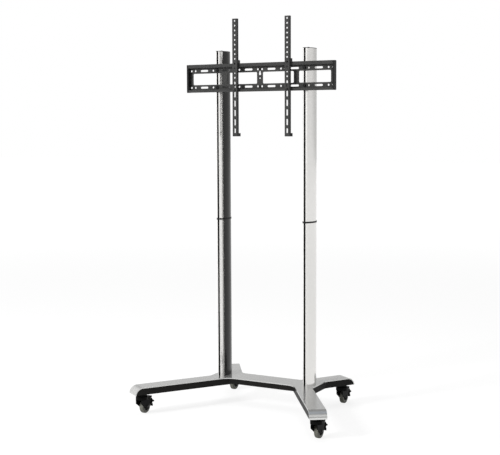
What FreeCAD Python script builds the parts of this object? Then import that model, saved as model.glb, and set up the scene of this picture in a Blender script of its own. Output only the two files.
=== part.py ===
import FreeCAD, Part
import math
import os
from types import SimpleNamespace

import Sketcher
from FreeCAD import Placement, Rotation, Vector

# Mobile stand for a large television: a wide castored base, two oval aluminium
# columns with a T slot in front, a steel rail that is bolted into the slots and
# two long arms that hook over the rail and carry the screen.
# Frame: +X to the right seen from the front, the screen side towards -Y, +Z up,
# floor at Z = 0. Most places below are given from the slot plane, the plane
# that touches the front of both columns.

# Driving dimensions, in millimetres and degrees
SIZES = {
    "column_spread": (420, "between the centres of the two columns"),
    "front_reach": (315, "slot plane forward to the front swivel axes"),
    "back_reach": (237, "slot plane back to the rear swivel axes"),
    "front_leg_angle": (34, "front legs, splay from the depth direction"),
    "back_leg_angle": (33, "rear legs, splay from the depth direction"),
    "front_root": (201.5, "where a front leg's centre line crosses the slot plane"),
    "back_root": (126, "where a rear leg's centre line crosses the slot plane"),
    "leg_wide": (72, "width of every leg"),
    "hub_margin": (17, "deck beyond the outer side of a column"),
    "cross_front_lap": (5, "crossbar in front of the slot plane"),
    "cross_back_lap": (1, "crossbar behind the columns"),
    "front_corner_round": (70, "deck corner between crossbar and front leg"),
    "back_corner_round": (30, "deck corner between crossbar and rear leg"),
    "hub_corner_round": (25, "outer deck corners beside a column"),
    "deck_thick": (4, "silver deck sheet"),
    "nose_round": (35, "outside radius of the turned-down leg ends"),
    "nose_start": (8, "swivel axis to where a leg starts to turn down"),
    "leg_skirt": (28, "depth of the black channels under legs and hubs"),
    "cross_skirt": (22.5, "depth of the black channel under the crossbar"),
    "skirt_inset": (1, "channels set back from the deck's edge"),
    "channel_wall": (3, "channel sheet"),
    "socket_round": (15, "radius of the threaded socket above a castor"),
    "caster_high": (92, "floor to the face a castor is screwed against"),
    "skirt_lap": (1.5, "skirt hanging below that face"),
    "column_wide": (48, "oval column, side to side"),
    "column_deep": (100, "oval column, front to back"),
    "column_end_round": (12, "radius of the oval's front and back"),
    "column_wall": (2.2, "extrusion wall"),
    "lower_long": (700, "lower column length"),
    "upper_long": (726, "upper column length"),
    "ring_thick": (7, "plastic ring between the lengths"),
    "ring_proud": (1.5, "ring standing out from the column"),
    "cap_thick": (2.5, "plastic cap on top of a column"),
    "cap_plug_deep": (14, "plug of that cap inside the column"),
    "slot_wide": (8, "mouth of the T slot"),
    "slot_lip": (5.5, "depth of that mouth"),
    "slot_land": (2, "flat land on both sides of the mouth"),
    "slot_cavity_wide": (16, "T slot behind its lips"),
    "slot_cavity_deep": (7.5, "depth of that cavity"),
    "duct_margin": (16.8, "column edge left in front of and behind the cable duct"),
    "duct_floor": (10, "duct floor from the column's centre plane"),
    "cover_thick": (2, "clip-on cable cover"),
    "cover_gap": (0.2, "gap along the edges of a cover"),
    "port_round": (5, "boss of a screw port"),
    "port_bore": (2.75, "radius of the hole in that boss"),
    "spigot_long": (200, "bar that joins two column lengths"),
    "spigot_wall": (3, "wall of that bar"),
    "spigot_out": (18.5, "its outer side from the column's centre plane"),
    "spigot_fit": (0.3, "gap round that bar"),
    "spigot_screw_pitch": (40, "between the two screws on each side of the joint"),
    "spigot_screw_first": (35, "joint to the first screw"),
    "spigot_screw_bore": (2.5, "radius of those screws"),
    "spigot_screw_head": (4.5, "radius of their heads"),
    "spigot_screw_head_high": (2.5, "height of their heads"),
    "spigot_screw_long": (9, "length of their shanks"),
    "foot_bolt_round": (2.7, "radius of the bolts up into the columns"),
    "foot_bolt_long": (32, "length of those bolts"),
    "foot_bolt_head": (6, "radius of their heads"),
    "foot_bolt_head_high": (5, "height of their heads"),
    "bolt_play": (0.3, "radial gap of a bolt in a clearance hole"),
    "rail_down": (118.5, "top of the upper column length to the rail's middle"),
    "rail_long": (708, "rail with its end caps"),
    "rail_cap_thick": (8, "end cap"),
    "rail_cap_tongue": (10, "tongues of an end cap inside the rail"),
    "rail_tongue_thick": (2, "thickness of those tongues"),
    "rail_gauge": (2.5, "rail sheet"),
    "rail_deep": (20.5, "back of the rail to the front of its lips"),
    "rail_up": (50, "rail's middle up to the upper flange"),
    "rail_dn": (49, "rail's middle down to the lower flange"),
    "lip_up": (13, "upper lip above the upper flange"),
    "lip_dn": (9, "lower lip below the lower flange"),
    "rail_bend": (3.5, "outside radius of the rail's bends"),
    "row_spread": (72.5, "between the two rows of holes"),
    "rail_hole": (4.25, "radius of the round holes and half a slot's width"),
    "rail_slot_long": (38, "end to end length of the rail's slots"),
    "rail_slot_pitch": (110, "between the slots, the first at half of this"),
    "rail_hole_apart": (20, "between the round holes of two neighbouring slots"),
    "window_high": (49, "height of the rail's windows"),
    "window_round": (5, "corner radius of the windows"),
    "centre_strut": (28, "strut in the middle of the rail"),
    "mid_strut": (24, "struts between two windows"),
    "end_strut": (15, "steel beside the outer windows"),
    "key_round": (5.5, "radius of the keyhole's wide end"),
    "key_neck": (3, "radius of its narrow end"),
    "key_high": (10, "between the centres of its two ends"),
    "key_up": (16.5, "its wide end above the rail's middle"),
    "key_dot": (3.5, "radius of the small hole under the keyhole"),
    "key_dot_down": (18, "keyhole's wide end down to that hole"),
    "rail_bolt_round": (3, "shank radius of the rail bolts"),
    "rail_bolt_head": (5.5, "radius of their heads"),
    "rail_bolt_head_high": (4.5, "height of their heads"),
    "washer_round": (8, "radius of the washers under them"),
    "washer_thick": (1.5, "thickness of those washers"),
    "hex_share": (0.5, "hexagon socket as a share of a bolt's head"),
    "nut_long": (20, "length of a T nut"),
    "nut_thick": (6, "thickness of a T nut"),
    "nut_play": (0.3, "gap between a T nut and the sides of the slot"),
    "plug_round": (4.2, "radius of the two plugs at the rail's middle"),
    "plug_head": (5.5, "radius of their heads"),
    "plug_head_high": (1.5, "height of their heads"),
    "arm_long": (500, "TV arm"),
    "arm_wide": (22.5, "face of an arm"),
    "arm_deep": (14, "depth of its flanges"),
    "arm_gauge": (2, "arm sheet"),
    "arm_up": (251.5, "rail's middle up to the top of an arm"),
    "left_arm_out": (105, "left arm from the middle of the rail"),
    "right_arm_out": (145, "right arm from the middle of the rail"),
    "arm_hole": (3.75, "radius of the arm's holes and half a slot's width"),
    "arm_hole_pitch": (20, "between the round holes"),
    "arm_hole_first": (10, "top of the arm to the first hole"),
    "arm_hole_count": (13, "round holes in an arm"),
    "arm_slot_first": (30, "last round hole to the first slot"),
    "arm_slot_pitch": (40, "between the slots"),
    "arm_slot_long": (26.6, "end to end length of a slot"),
    "arm_slot_count": (5, "long slots in an arm"),
    "arm_end_slot_long": (20, "short slot at the foot"),
    "arm_end_slot_up": (24, "its middle above the end of the arm"),
    "hook_deep": (14, "hook behind the flanges of an arm"),
    "hook_over": (14, "hook above the rail's lip"),
    "hook_round": (4, "radius of the hook's back corner"),
    "hook_tip_gap": (3, "hook tip above the rail's upper flange"),
    "glide_gap": (0.3, "gap between an arm and the rail"),
    "foot_high": (14, "plastic foot of an arm"),
    "foot_round": (3, "corner radius of that foot"),
    "foot_wall_gap": (2.5, "foot in front of the slot plane, clear of the rings"),
    "lock_round": (3, "shank radius of an arm's lock screw"),
    "lock_head": (5.5, "radius of its head"),
    "lock_head_high": (4, "height of its head"),
    "weld_nut_round": (6, "weld nut behind an arm's face"),
    "weld_nut_high": (5, "height of that nut"),
    "wheel_round": (30, "radius of a wheel"),
    "wheel_wide": (20, "width of its tyre"),
    "tread_round": (5, "rounding of the tyre's shoulders"),
    "hub_round": (21, "radius of the hub under the tyre"),
    "hub_rim": (3, "rim of the hub"),
    "hub_web": (6, "thickness of the hub's web"),
    "hub_boss": (7, "radius of the boss round the axle"),
    "trail": (22, "swivel axis to the axle"),
    "axle_round": (3, "radius of the axle"),
    "axle_head": (5.5, "radius of its heads"),
    "axle_head_high": (2, "height of its heads"),
    "run_gap": (0.05, "radial clearance of axle, pin and king pin"),
    "face_gap": (0.3, "gap between faces that turn past each other"),
    "crown_round": (26, "radius of the fork's crown"),
    "crown_top": (80, "top of the crown"),
    "crown_under": (64, "underside of the crown"),
    "crown_edge": (3, "rounding of the crown's upper edge"),
    "fork_wide": (31, "across the fork's cheeks"),
    "fork_gap": (23, "between the cheeks"),
    "cheek_top": (74, "upper edge of the cheeks"),
    "cheek_front": (24, "front edge of the cheeks, from the swivel axis"),
    "cheek_low": (48, "where the front edge turns back to the axle"),
    "cheek_boss": (12, "radius of the cheeks round the axle"),
    "pedal_pivot_back": (40, "brake pivot from the swivel axis"),
    "pedal_pivot_high": (62, "brake pivot above the floor"),
    "ear_round": (7, "cheeks round the brake pivot"),
    "pedal_boss": (5, "pedal round its pivot"),
    "pedal_wide": (20, "width of the brake pedal between the cheeks"),
    "pedal_tread_wide": (28, "width of the brake pedal behind the cheeks"),
    "pedal_reach": (35, "pivot to the tip of the pedal's tongue"),
    "brake_gap": (4, "released brake shoe to the tyre"),
    "pin_round": (2, "radius of the brake pivot pin"),
    "king_round": (5, "king pin radius"),
    "king_head": (8, "radius of the king pin's riveted head"),
    "king_head_high": (2.5, "height of that head"),
    "race_round": (22, "fixed raceway above the fork"),
    "race_neck": (17, "radius at the top of the raceway"),
    "race_lip": (5, "height of the raceway's straight edge"),
    "stem_round": (5, "threaded stem"),
    "stem_long": (20, "stem above the raceway"),
    "overrun": (2, "how far a cut runs past the face it starts from"),
    "same_point": (0.001, "two points closer than this are one"),
}

# Brake pedal outline behind its pivot: back and up, as shares of the pedal's reach
PEDAL_BACK_SHARES = (
    (0.46, 0.20), (0.64, 0.165), (0.68, 0.055), (0.51, -0.09), (0.60, -0.27),
    (0.95, -0.475), (1.00, -0.565), (0.93, -0.64), (0.60, -0.60), (0.55, -0.695),
    (0.66, -0.895), (0.695, -1.04), (0.60, -1.135),
)
# The points of that outline, from this one on, that the wider tread takes in
PEDAL_TREAD_FROM = 3
# Front corner that closes the tread's outline, as shares of the same reach
PEDAL_TREAD_FRONT = (0.49, -0.80)
# Brake shoe: first and last direction seen from the axle, in degrees above level
SHOE_LOW_ANGLE = 3
SHOE_HIGH_ANGLE = 50
# Spigot seen from above, as shares of the column's depth
SPIGOT_FRONT_SHARE = 0.30
SPIGOT_BACK_SHARE = 0.70

doc = FreeCAD.newDocument("mobile_tv_stand")
sheet = doc.addObject("Spreadsheet::Sheet", "Sizes")
for row, (alias, (value, meaning)) in enumerate(SIZES.items(), start=1):
    sheet.set(f"A{row}", alias)
    sheet.set(f"B{row}", str(value))
    sheet.set(f"C{row}", meaning)
    sheet.setAlias(f"B{row}", alias)
doc.recompute()
S = SimpleNamespace(**{alias: float(sheet.get(alias)) for alias in SIZES})

nodes = {}


# Levels and places that several pieces share
skirt_bottom = S.caster_high - S.skirt_lap
deck_bottom = skirt_bottom + S.leg_skirt
deck_top = deck_bottom + S.deck_thick
web_under = deck_bottom - S.channel_wall
column_x = S.column_spread / 2
hub_edge = column_x + S.column_wide / 2 + S.hub_margin
cross_back = S.column_deep + S.cross_back_lap
lower_top = deck_top + S.lower_long
upper_foot = lower_top + S.ring_thick
column_top = upper_foot + S.upper_long
rail_mid = column_top - S.rail_down
cavity_back = S.slot_lip + S.slot_cavity_deep
port_front = cavity_back + S.port_round
port_back = S.column_deep - S.port_round
spigot_front = S.column_deep * SPIGOT_FRONT_SHARE
spigot_back = S.column_deep * SPIGOT_BACK_SHARE
spigot_in = S.spigot_fit - S.duct_floor + S.column_wall
arm_back = -S.rail_deep - S.glide_gap
arm_face = arm_back - S.arm_deep
lip_top = S.rail_up + S.lip_up
lock_level = -S.rail_dn - S.lip_dn / 2
nose_drop = S.deck_thick + S.leg_skirt
nose_tip = math.sqrt(S.nose_round ** 2 - (S.nose_round - nose_drop) ** 2)
front_lean = math.radians(S.front_leg_angle)
front_edge = (S.front_reach + (S.nose_start + nose_tip) * math.cos(front_lean)
              + S.leg_wide / 2 * math.sin(front_lean))
back_edge = S.back_reach + S.pedal_pivot_back + S.pedal_reach
slot_plane = (front_edge - back_edge) / 2


def at(x, y, z, rotation=Rotation()):
    """Placement of a point given from the slot plane."""
    return Placement(Vector(x, y + slot_plane, z), rotation)


def keep(obj, label):
    """Give a finished sub-part its own name."""
    obj.Label = label
    nodes[label] = obj
    return obj


def feature(label, shape, placement=None):
    """A sub-part whose shape is worked out below from the sheet."""
    obj = doc.addObject("Part::Feature", label)
    obj.Shape = shape
    if placement:
        obj.Placement = placement
    return keep(obj, label)


# Plane geometry
def meet(p, d, q, e):
    """Where the line through p along d meets the line through q along e."""
    cross = d[0] * e[1] - d[1] * e[0]
    k = ((q[0] - p[0]) * e[1] - (q[1] - p[1]) * e[0]) / cross
    return (p[0] + k * d[0], p[1] + k * d[1])


def rounded(points, radii):
    """Closed outline through corner points, each corner rounded by its radius."""
    corners = []
    count = len(points)
    for i, radius in enumerate(radii):
        here = Vector(*points[i])
        back = (Vector(*points[i - 1]) - here).normalize()
        ahead = (Vector(*points[(i + 1) % count]) - here).normalize()
        if radius <= 0:
            corners.append((here, None, here))
            continue
        half = back.getAngle(ahead) / 2
        run = radius / math.tan(half)
        centre = here + (back + ahead).normalize() * (radius / math.sin(half))
        middle = centre + (here - centre).normalize() * radius
        corners.append((here + back * run, middle, here + ahead * run))
    edges = []
    for i, (start, middle, end) in enumerate(corners):
        if middle:
            edges.append(Part.Arc(start, middle, end))
        following = corners[(i + 1) % count][0]
        if end.distanceToPoint(following) > S.same_point:
            edges.append(Part.LineSegment(end, following))
    return edges


def face_of(edges):
    """Flat face inside a closed list of lines and arcs."""
    return Part.Face(Part.Wire([edge.toShape() for edge in edges]))


def prism(points, radii, low, high):
    """Upright solid over a rounded outline."""
    face = face_of(rounded(points, radii))
    face.translate(Vector(0, 0, low))
    return face.extrude(Vector(0, 0, high - low))


def slab(low_x, low_y, low_z, high_x, high_y, high_z):
    """Plain block between two corners."""
    size = (high_x - low_x, high_y - low_y, high_z - low_z)
    return Part.makeBox(*size, Vector(low_x, low_y, low_z))


def turned(outline):
    """Solid of revolution about Z from points given as radius and height."""
    ring = [Vector(radius, 0, level) for radius, level in outline]
    face = Part.Face(Part.makePolygon(ring + ring[:1]))
    return face.revolve(Vector(0, 0, 0), Vector(0, 0, 1), 360)


def rectangle(low_x, low_y, high_x, high_y):
    """Corner points of a rectangle."""
    return [(low_x, low_y), (high_x, low_y), (high_x, high_y), (low_x, high_y)]


def slot_edges(x, y, length, radius):
    """Level slot with round ends, by its middle, length and end radius."""
    run = length / 2 - radius
    return [
        Part.LineSegment(Vector(x - run, y - radius, 0), Vector(x + run, y - radius, 0)),
        Part.Arc(Vector(x + run, y - radius, 0), Vector(x + run + radius, y, 0),
                 Vector(x + run, y + radius, 0)),
        Part.LineSegment(Vector(x + run, y + radius, 0), Vector(x - run, y + radius, 0)),
        Part.Arc(Vector(x - run, y + radius, 0), Vector(x - run - radius, y, 0),
                 Vector(x - run, y - radius, 0)),
    ]


# Sketch based bodies
def new_body(label, placement):
    """Empty body at its place on the stand."""
    body = doc.addObject("PartDesign::Body", label)
    body.Placement = placement
    return keep(body, label)


def sketch(body, name, plane, edges, offset=0):
    """Sketch on one of the body's own planes, moved along that plane's normal."""
    drawing = body.newObject("Sketcher::SketchObject", name)
    support = [f for f in body.Origin.OriginFeatures if f.Role == plane][0]
    drawing.AttachmentSupport = [(support, "")]
    drawing.MapMode = "FlatFace"
    drawing.AttachmentOffset = Placement(Vector(0, 0, offset), Rotation())
    drawing.addGeometry(edges, False)
    return drawing


def add_circle(drawing, x, y, alias, play="0"):
    """Circle whose radius follows the sheet, with a named clearance if one is given."""
    radius = getattr(S, alias)
    circle = Part.Circle(Vector(x, y, 0), Vector(0, 0, 1), radius)
    index = drawing.addGeometry(circle, False)
    name = f"radius_{index}"
    rule = drawing.addConstraint(Sketcher.Constraint("Radius", index, radius))
    drawing.renameConstraint(rule, name)
    drawing.setExpression(f"Constraints.{name}", f"Sizes.{alias} + {play}")


def pad(body, drawing, length, reverse=False):
    """Pad whose length is an expression on the sheet."""
    solid = body.newObject("PartDesign::Pad", drawing.Name + "_pad")
    solid.Profile = drawing
    solid.Reversed = reverse
    solid.setExpression("Length", length)
    return solid


def through(body, drawing, reverse=False):
    """Pocket that runs right through the body on one side of its sketch."""
    hole = body.newObject("PartDesign::Pocket", drawing.Name + "_cut")
    hole.Profile = drawing
    hole.Type = "ThroughAll"
    hole.Reversed = reverse
    return hole


def revolve(body, drawing):
    """Full revolution about the sketch's level axis."""
    solid = body.newObject("PartDesign::Revolution", drawing.Name + "_turn")
    solid.Profile = drawing
    solid.ReferenceAxis = (drawing, ["H_Axis"])
    solid.Angle = 360
    return solid


# Primitive based pieces
def cylinder(name, radius, height, placement):
    """Cylinder with sizes from the sheet."""
    obj = doc.addObject("Part::Cylinder", name)
    obj.setExpression("Radius", radius)
    obj.setExpression("Height", height)
    obj.Placement = placement
    return obj


def fuse(name, pieces):
    """Union of several objects."""
    obj = doc.addObject("Part::MultiFuse", name)
    obj.Shapes = pieces
    obj.Refine = True
    return obj


def cut(name, base, tool):
    """Base with the tool taken away."""
    obj = doc.addObject("Part::Cut", name)
    obj.Base = base
    obj.Tool = tool
    return obj


def group(label, pieces):
    """Identical small pieces that share one name."""
    obj = doc.addObject("Part::Compound", label)
    obj.Links = pieces
    return keep(obj, label)


def placed(obj, placement):
    """Object put at its place, as an expression would leave it."""
    obj.Placement = placement
    return obj


# Legs of the right side: swivel axis, direction, outward normal
class Leg:
    """Centre line of one leg seen from above."""

    def __init__(self, root, reach, angle, forward, side):
        lean = math.radians(angle)
        self.side = side
        self.along = (side * math.sin(lean), forward * math.cos(lean))
        self.out = (side * math.cos(lean), -forward * math.sin(lean))
        self.axis = (side * (root + reach * math.tan(lean)), forward * reach)

    def point(self, run, across):
        """Point past the swivel axis and across from the centre line."""
        return (self.axis[0] + self.along[0] * run + self.out[0] * across,
                self.axis[1] + self.along[1] * run + self.out[1] * across)


def legs_of(side):
    """Front and rear leg of one side."""
    front = Leg(S.front_root, S.front_reach, S.front_leg_angle, -1, side)
    back = Leg(S.back_root, S.back_reach, S.back_leg_angle, 1, side)
    return front, back


SIDES = {"left": -1, "right": 1}
LEGS = {name: legs_of(side) for name, side in SIDES.items()}


def hub_corners(side, half, edge):
    """Outer corners beside a column, where the legs' outer lines start."""
    front, back = legs_of(side)
    wall = ((side * edge, 0), (0, 1))
    return (meet(front.point(0, half), front.along, *wall),
            meet(back.point(0, half), back.along, *wall))


def chevron(side, half, edge, radius):
    """Outline of one side: front leg, hub and rear leg, up to the nose starts."""
    front, back = legs_of(side)
    front_hub, back_hub = hub_corners(side, half, edge)
    vertex = meet(front.point(0, -half), front.along, back.point(0, -half), back.along)
    points = [vertex, front.point(S.nose_start, -half), front.point(S.nose_start, half),
              front_hub, back_hub, back.point(S.nose_start, half),
              back.point(S.nose_start, -half)]
    return points, [0, 0, 0, radius, radius, 0, 0]


def nose(leg, half, outer, inner, bottom):
    """Turned-down end of a leg: the sweep between two radii, or a full one."""
    centre = deck_top - S.nose_round

    def spot(run, level):
        x, y = leg.point(S.nose_start + run, -half)
        return Vector(x, y, level)

    def arc(radius, backwards):
        foot = math.asin((bottom - centre) / radius)
        angles = [math.pi / 2, (math.pi / 2 + foot) / 2, foot]
        if backwards:
            angles.reverse()
        return Part.Arc(*[spot(radius * math.cos(a), centre + radius * math.sin(a))
                          for a in angles])

    edges = [arc(outer, False)]
    outer_foot = math.sqrt(outer ** 2 - (bottom - centre) ** 2)
    if inner:
        inner_foot = math.sqrt(inner ** 2 - (bottom - centre) ** 2)
        edges.append(Part.LineSegment(spot(outer_foot, bottom), spot(inner_foot, bottom)))
        edges.append(arc(inner, True))
        edges.append(Part.LineSegment(spot(0, centre + inner), spot(0, centre + outer)))
    else:
        edges.append(Part.LineSegment(spot(outer_foot, bottom), spot(0, bottom)))
        edges.append(Part.LineSegment(spot(0, bottom), spot(0, centre + outer)))
    width = Vector(leg.out[0], leg.out[1], 0) * (2 * half)
    return face_of(edges).extrude(width)


def foot_drills(side):
    """Clearance holes for the two bolts up into one column."""
    radius = S.foot_bolt_round + S.bolt_play
    height = deck_top - web_under
    drills = [Part.makeCylinder(radius, height, Vector(side * column_x, v, web_under))
              for v in (port_front, port_back)]
    return drills[0].fuse(drills[1])


def build_deck():
    """Silver sheet over crossbar, hubs and legs, with the four noses."""
    half = S.leg_wide / 2
    outline = []
    radii = []
    for side in (1, -1):
        front, back = legs_of(side)
        front_hub, back_hub = hub_corners(side, half, hub_edge)
        front_in = meet(front.point(0, -half), front.along, (0, -S.cross_front_lap), (1, 0))
        back_in = meet(back.point(0, -half), back.along, (0, cross_back), (1, 0))
        stretch = [front_in, front.point(S.nose_start, -half), front.point(S.nose_start, half),
                   front_hub, back_hub, back.point(S.nose_start, half),
                   back.point(S.nose_start, -half), back_in]
        rounds = [S.front_corner_round, 0, 0, S.hub_corner_round,
                  S.hub_corner_round, 0, 0, S.back_corner_round]
        outline += stretch[::side]
        radii += rounds[::side]
    deck = prism(outline, radii, deck_bottom, deck_top)
    inner = S.nose_round - S.deck_thick
    for front, back in LEGS.values():
        for leg in (front, back):
            deck = deck.fuse(nose(leg, half, S.nose_round, inner, skirt_bottom))
    for side in SIDES.values():
        deck = deck.cut(foot_drills(side))
    feature("base_deck", deck.removeSplitter(), at(0, 0, 0))


def build_side_channel(name, side):
    """Black tray under one side, open below, its ends rounded like the noses."""
    half = S.leg_wide / 2 - S.skirt_inset
    edge = hub_edge - S.skirt_inset
    inner_half = half - S.channel_wall
    inner_edge = edge - S.channel_wall
    round_out = S.hub_corner_round - S.skirt_inset
    end = S.nose_round - S.deck_thick
    below = skirt_bottom - S.overrun
    shell = prism(*chevron(side, half, edge, round_out), skirt_bottom, deck_bottom)
    hollow = prism(*chevron(side, inner_half, inner_edge, round_out - S.channel_wall),
                   below, web_under)
    for leg in legs_of(side):
        shell = shell.fuse(nose(leg, half, end, None, skirt_bottom))
        hollow = hollow.fuse(nose(leg, inner_half, end - S.channel_wall, None, below))
    channel = shell.cut(hollow).cut(foot_drills(side))
    feature(f"side_channel_{name}", channel.removeSplitter(), at(0, 0, 0))
    return hollow


def build_cross_channel():
    """Black channel under the crossbar, butted against both side channels."""
    half = S.leg_wide / 2 - S.skirt_inset
    front_y = S.skirt_inset - S.cross_front_lap
    back_y = cross_back - S.skirt_inset
    right = []
    front, back = legs_of(1)
    right.append(meet(front.point(0, -half), front.along, (0, front_y), (1, 0)))
    right.append(meet(front.point(0, -half), front.along, back.point(0, -half), back.along))
    right.append(meet(back.point(0, -half), back.along, (0, back_y), (1, 0)))
    left = [(-x, y) for x, y in reversed(right)]
    bottom = deck_bottom - S.cross_skirt
    shell = prism(right + left, [0] * len(right + left), bottom, deck_bottom)
    reach = hub_edge
    hollow = slab(-reach, front_y + S.channel_wall, bottom - S.overrun,
                  reach, back_y - S.channel_wall, web_under)
    feature("cross_channel", shell.cut(hollow), at(0, 0, 0))


def build_sockets(hollows):
    """Threaded sockets in the leg channels, one above each castor, up to the web."""
    sockets = []
    height = S.leg_skirt + S.skirt_lap
    for name, hollow in hollows.items():
        for leg in LEGS[name]:
            foot = Vector(*leg.axis, S.caster_high)
            body = Part.makeCylinder(S.socket_round, height, foot)
            bore = Part.makeCylinder(S.stem_round + S.run_gap, height, foot)
            socket = doc.addObject("Part::Feature", "socket")
            socket.Shape = body.cut(bore).common(hollow)
            socket.Placement = at(0, 0, 0)
            sockets.append(socket)
    group("caster_sockets", sockets)


# Column section seen from above: u points away from the other column, v back
def oval_edges(grow):
    """Four tangent arcs of the oval, all moved outwards by grow."""
    wide = S.column_wide / 2
    deep = S.column_deep / 2
    end = S.column_end_round
    flank = (wide ** 2 + (deep - end) ** 2 - end ** 2) / (2 * (wide - end))
    end_run = (deep - end) / (flank - end)
    end_side = (flank - wide) / (flank - end)
    touch_u = end_side * (end + grow)
    touch_v = end_run * (end + grow)
    front = end - touch_v
    back = 2 * deep - end + touch_v
    return [
        Part.Arc(Vector(-touch_u, front, 0), Vector(0, -grow, 0),
                 Vector(touch_u, front, 0)),
        Part.Arc(Vector(touch_u, front, 0), Vector(wide + grow, deep, 0),
                 Vector(touch_u, back, 0)),
        Part.Arc(Vector(touch_u, back, 0), Vector(0, 2 * deep + grow, 0),
                 Vector(-touch_u, back, 0)),
        Part.Arc(Vector(-touch_u, back, 0), Vector(-(wide + grow), deep, 0),
                 Vector(-touch_u, front, 0)),
    ]


def area(side, low_u, low_v, high_u, high_v):
    """Rectangle in the column section, as a face."""
    low, high = sorted((side * low_u, side * high_u))
    corners = rectangle(low, low_v, high, high_v)
    return face_of(rounded(corners, [0] * len(corners)))


def disc(v, radius):
    """Round face on the middle line of the column section."""
    circle = Part.Circle(Vector(0, v, 0), Vector(0, 0, 1), radius)
    return Part.Face(Part.Wire([circle.toShape()]))


def duct_area(side):
    """Mouth and room of the cable duct."""
    return area(side, -S.column_wide, S.duct_margin, -S.duct_floor,
                S.column_deep - S.duct_margin)


def duct_passage(side):
    """Cable duct where it runs through a ring or a cap, inside their rims."""
    return duct_area(side).common(face_of(oval_edges(-S.column_wall)))


def cell_area(side):
    """Closed chamber behind the T slot, with the two screw ports left standing."""
    room = face_of(oval_edges(-S.column_wall))
    room = room.common(area(side, S.column_wall - S.duct_floor,
                            cavity_back + S.column_wall, S.column_wide, S.column_deep))
    for v in (port_front, port_back):
        room = room.cut(disc(v, S.port_round))
    return room


def column_section(side):
    """Extruded section: oval, T slot, chamber, cable duct and screw ports."""
    mouth = S.slot_wide / 2
    land = mouth + S.slot_land
    cavity = S.slot_cavity_wide / 2
    section = face_of(oval_edges(0))
    section = section.fuse(area(side, -land, 0, land, S.slot_lip)).removeSplitter()
    section = section.cut(area(side, -mouth, -S.overrun, mouth, cavity_back))
    section = section.cut(area(side, -cavity, S.slot_lip, cavity, cavity_back))
    section = section.cut(duct_area(side))
    section = section.cut(cell_area(side))
    for v in (port_front, port_back):
        section = section.cut(disc(v, S.port_bore))
    return section


def cover_section(side):
    """Curved cover strip flush with the oval, with a clip leg at each edge."""
    front = S.duct_margin + S.cover_gap
    back = S.column_deep - front
    clip_end = -S.duct_floor - S.cover_gap
    strip = area(side, -S.column_wide, front, clip_end, back)
    room = area(side, -S.column_wide, front + S.cover_thick, 0, back - S.cover_thick)
    room = room.common(face_of(oval_edges(-S.cover_thick)))
    return strip.common(face_of(oval_edges(0))).cut(room)


def extruded(label, section, length, placement):
    """Length of an extrusion or moulding, bound to the sheet."""
    profile = doc.addObject("Part::Feature", label + "_section")
    profile.Shape = section
    profile.Placement = placement
    bar = doc.addObject("Part::Extrusion", label)
    bar.Base = profile
    bar.DirMode = "Custom"
    bar.Dir = Vector(0, 0, 1)
    bar.Solid = True
    bar.setExpression("LengthFwd", length)
    return bar


def build_columns():
    """Both columns with covers, rings, spigots and caps."""
    for name, side in SIDES.items():
        x = side * column_x
        section = column_section(side)
        cover = cover_section(side)
        for part, foot in (("lower", deck_top), ("upper", upper_foot)):
            length = f"Sizes.{part}_long"
            bar = extruded(f"bar_{part}_{name}", section, length, at(x, 0, foot))
            drills = spigot_drills(side, "Sizes.spigot_screw_bore + Sizes.bolt_play")
            keep(cut(f"column_{part}_{name}", bar, drills), f"column_{part}_{name}")
            keep(extruded(f"cable_cover_{part}_{name}", cover, length, at(x, 0, foot)),
                 f"cable_cover_{part}_{name}")
        passage = area(side, spigot_in - S.spigot_fit, spigot_front - S.spigot_fit,
                       S.spigot_out + S.spigot_fit, spigot_back + S.spigot_fit)
        ring = face_of(oval_edges(S.ring_proud)).cut(passage).cut(duct_passage(side))
        keep(extruded(f"joint_ring_{name}", ring, "Sizes.ring_thick", at(x, 0, lower_top)),
             f"joint_ring_{name}")
        build_spigot(name, side, x)
        build_cap(name, side, x)


def build_spigot(name, side, x):
    """Hollow bar inside both lengths of a column."""
    bar = area(side, spigot_in, spigot_front, S.spigot_out, spigot_back)
    bar = bar.cut(area(side, spigot_in + S.spigot_wall, spigot_front + S.spigot_wall,
                       S.spigot_out - S.spigot_wall, spigot_back - S.spigot_wall))
    foot = lower_top + S.ring_thick / 2 - S.spigot_long / 2
    tube = extruded(f"spigot_tube_{name}", bar, "Sizes.spigot_long", at(x, 0, foot))
    drills = spigot_drills(side, "Sizes.spigot_screw_bore + Sizes.run_gap")
    keep(cut(f"column_spigot_{name}", tube, drills), f"column_spigot_{name}")


def spigot_drills(side, radius):
    """Holes across a column's duct floor for its four spigot screws."""
    outward = Rotation(Vector(0, 0, 1), Vector(side, 0, 0))
    start = side * (column_x - S.duct_floor - S.overrun)
    length = "Sizes.spigot_screw_long + Sizes.overrun"
    return fuse("spigot_drills", [cylinder("spigot_drill", radius, length,
                                           at(start, S.column_deep / 2, level, outward))
                                  for level in spigot_screw_levels()])


def spigot_screw_levels():
    """Heights of the spigot screws, above and below each joint."""
    joint = lower_top + S.ring_thick / 2
    steps = (S.spigot_screw_first, S.spigot_screw_first + S.spigot_screw_pitch)
    return [joint - step for step in steps] + [joint + step for step in steps]


def build_cap(name, side, x):
    """Plastic cap with a cable exit and a plug into the column's chamber."""
    plate = face_of(oval_edges(0)).cut(duct_passage(side))
    lid = extruded(f"cap_lid_{name}", plate, "Sizes.cap_thick", at(x, 0, column_top))
    plug = area(side, spigot_in, spigot_front, S.spigot_out, spigot_back)
    stopper = extruded(f"cap_plug_{name}", plug, "Sizes.cap_plug_deep",
                       at(x, 0, column_top - S.cap_plug_deep))
    keep(fuse(f"column_cap_{name}", [lid, stopper]), f"column_cap_{name}")


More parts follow.
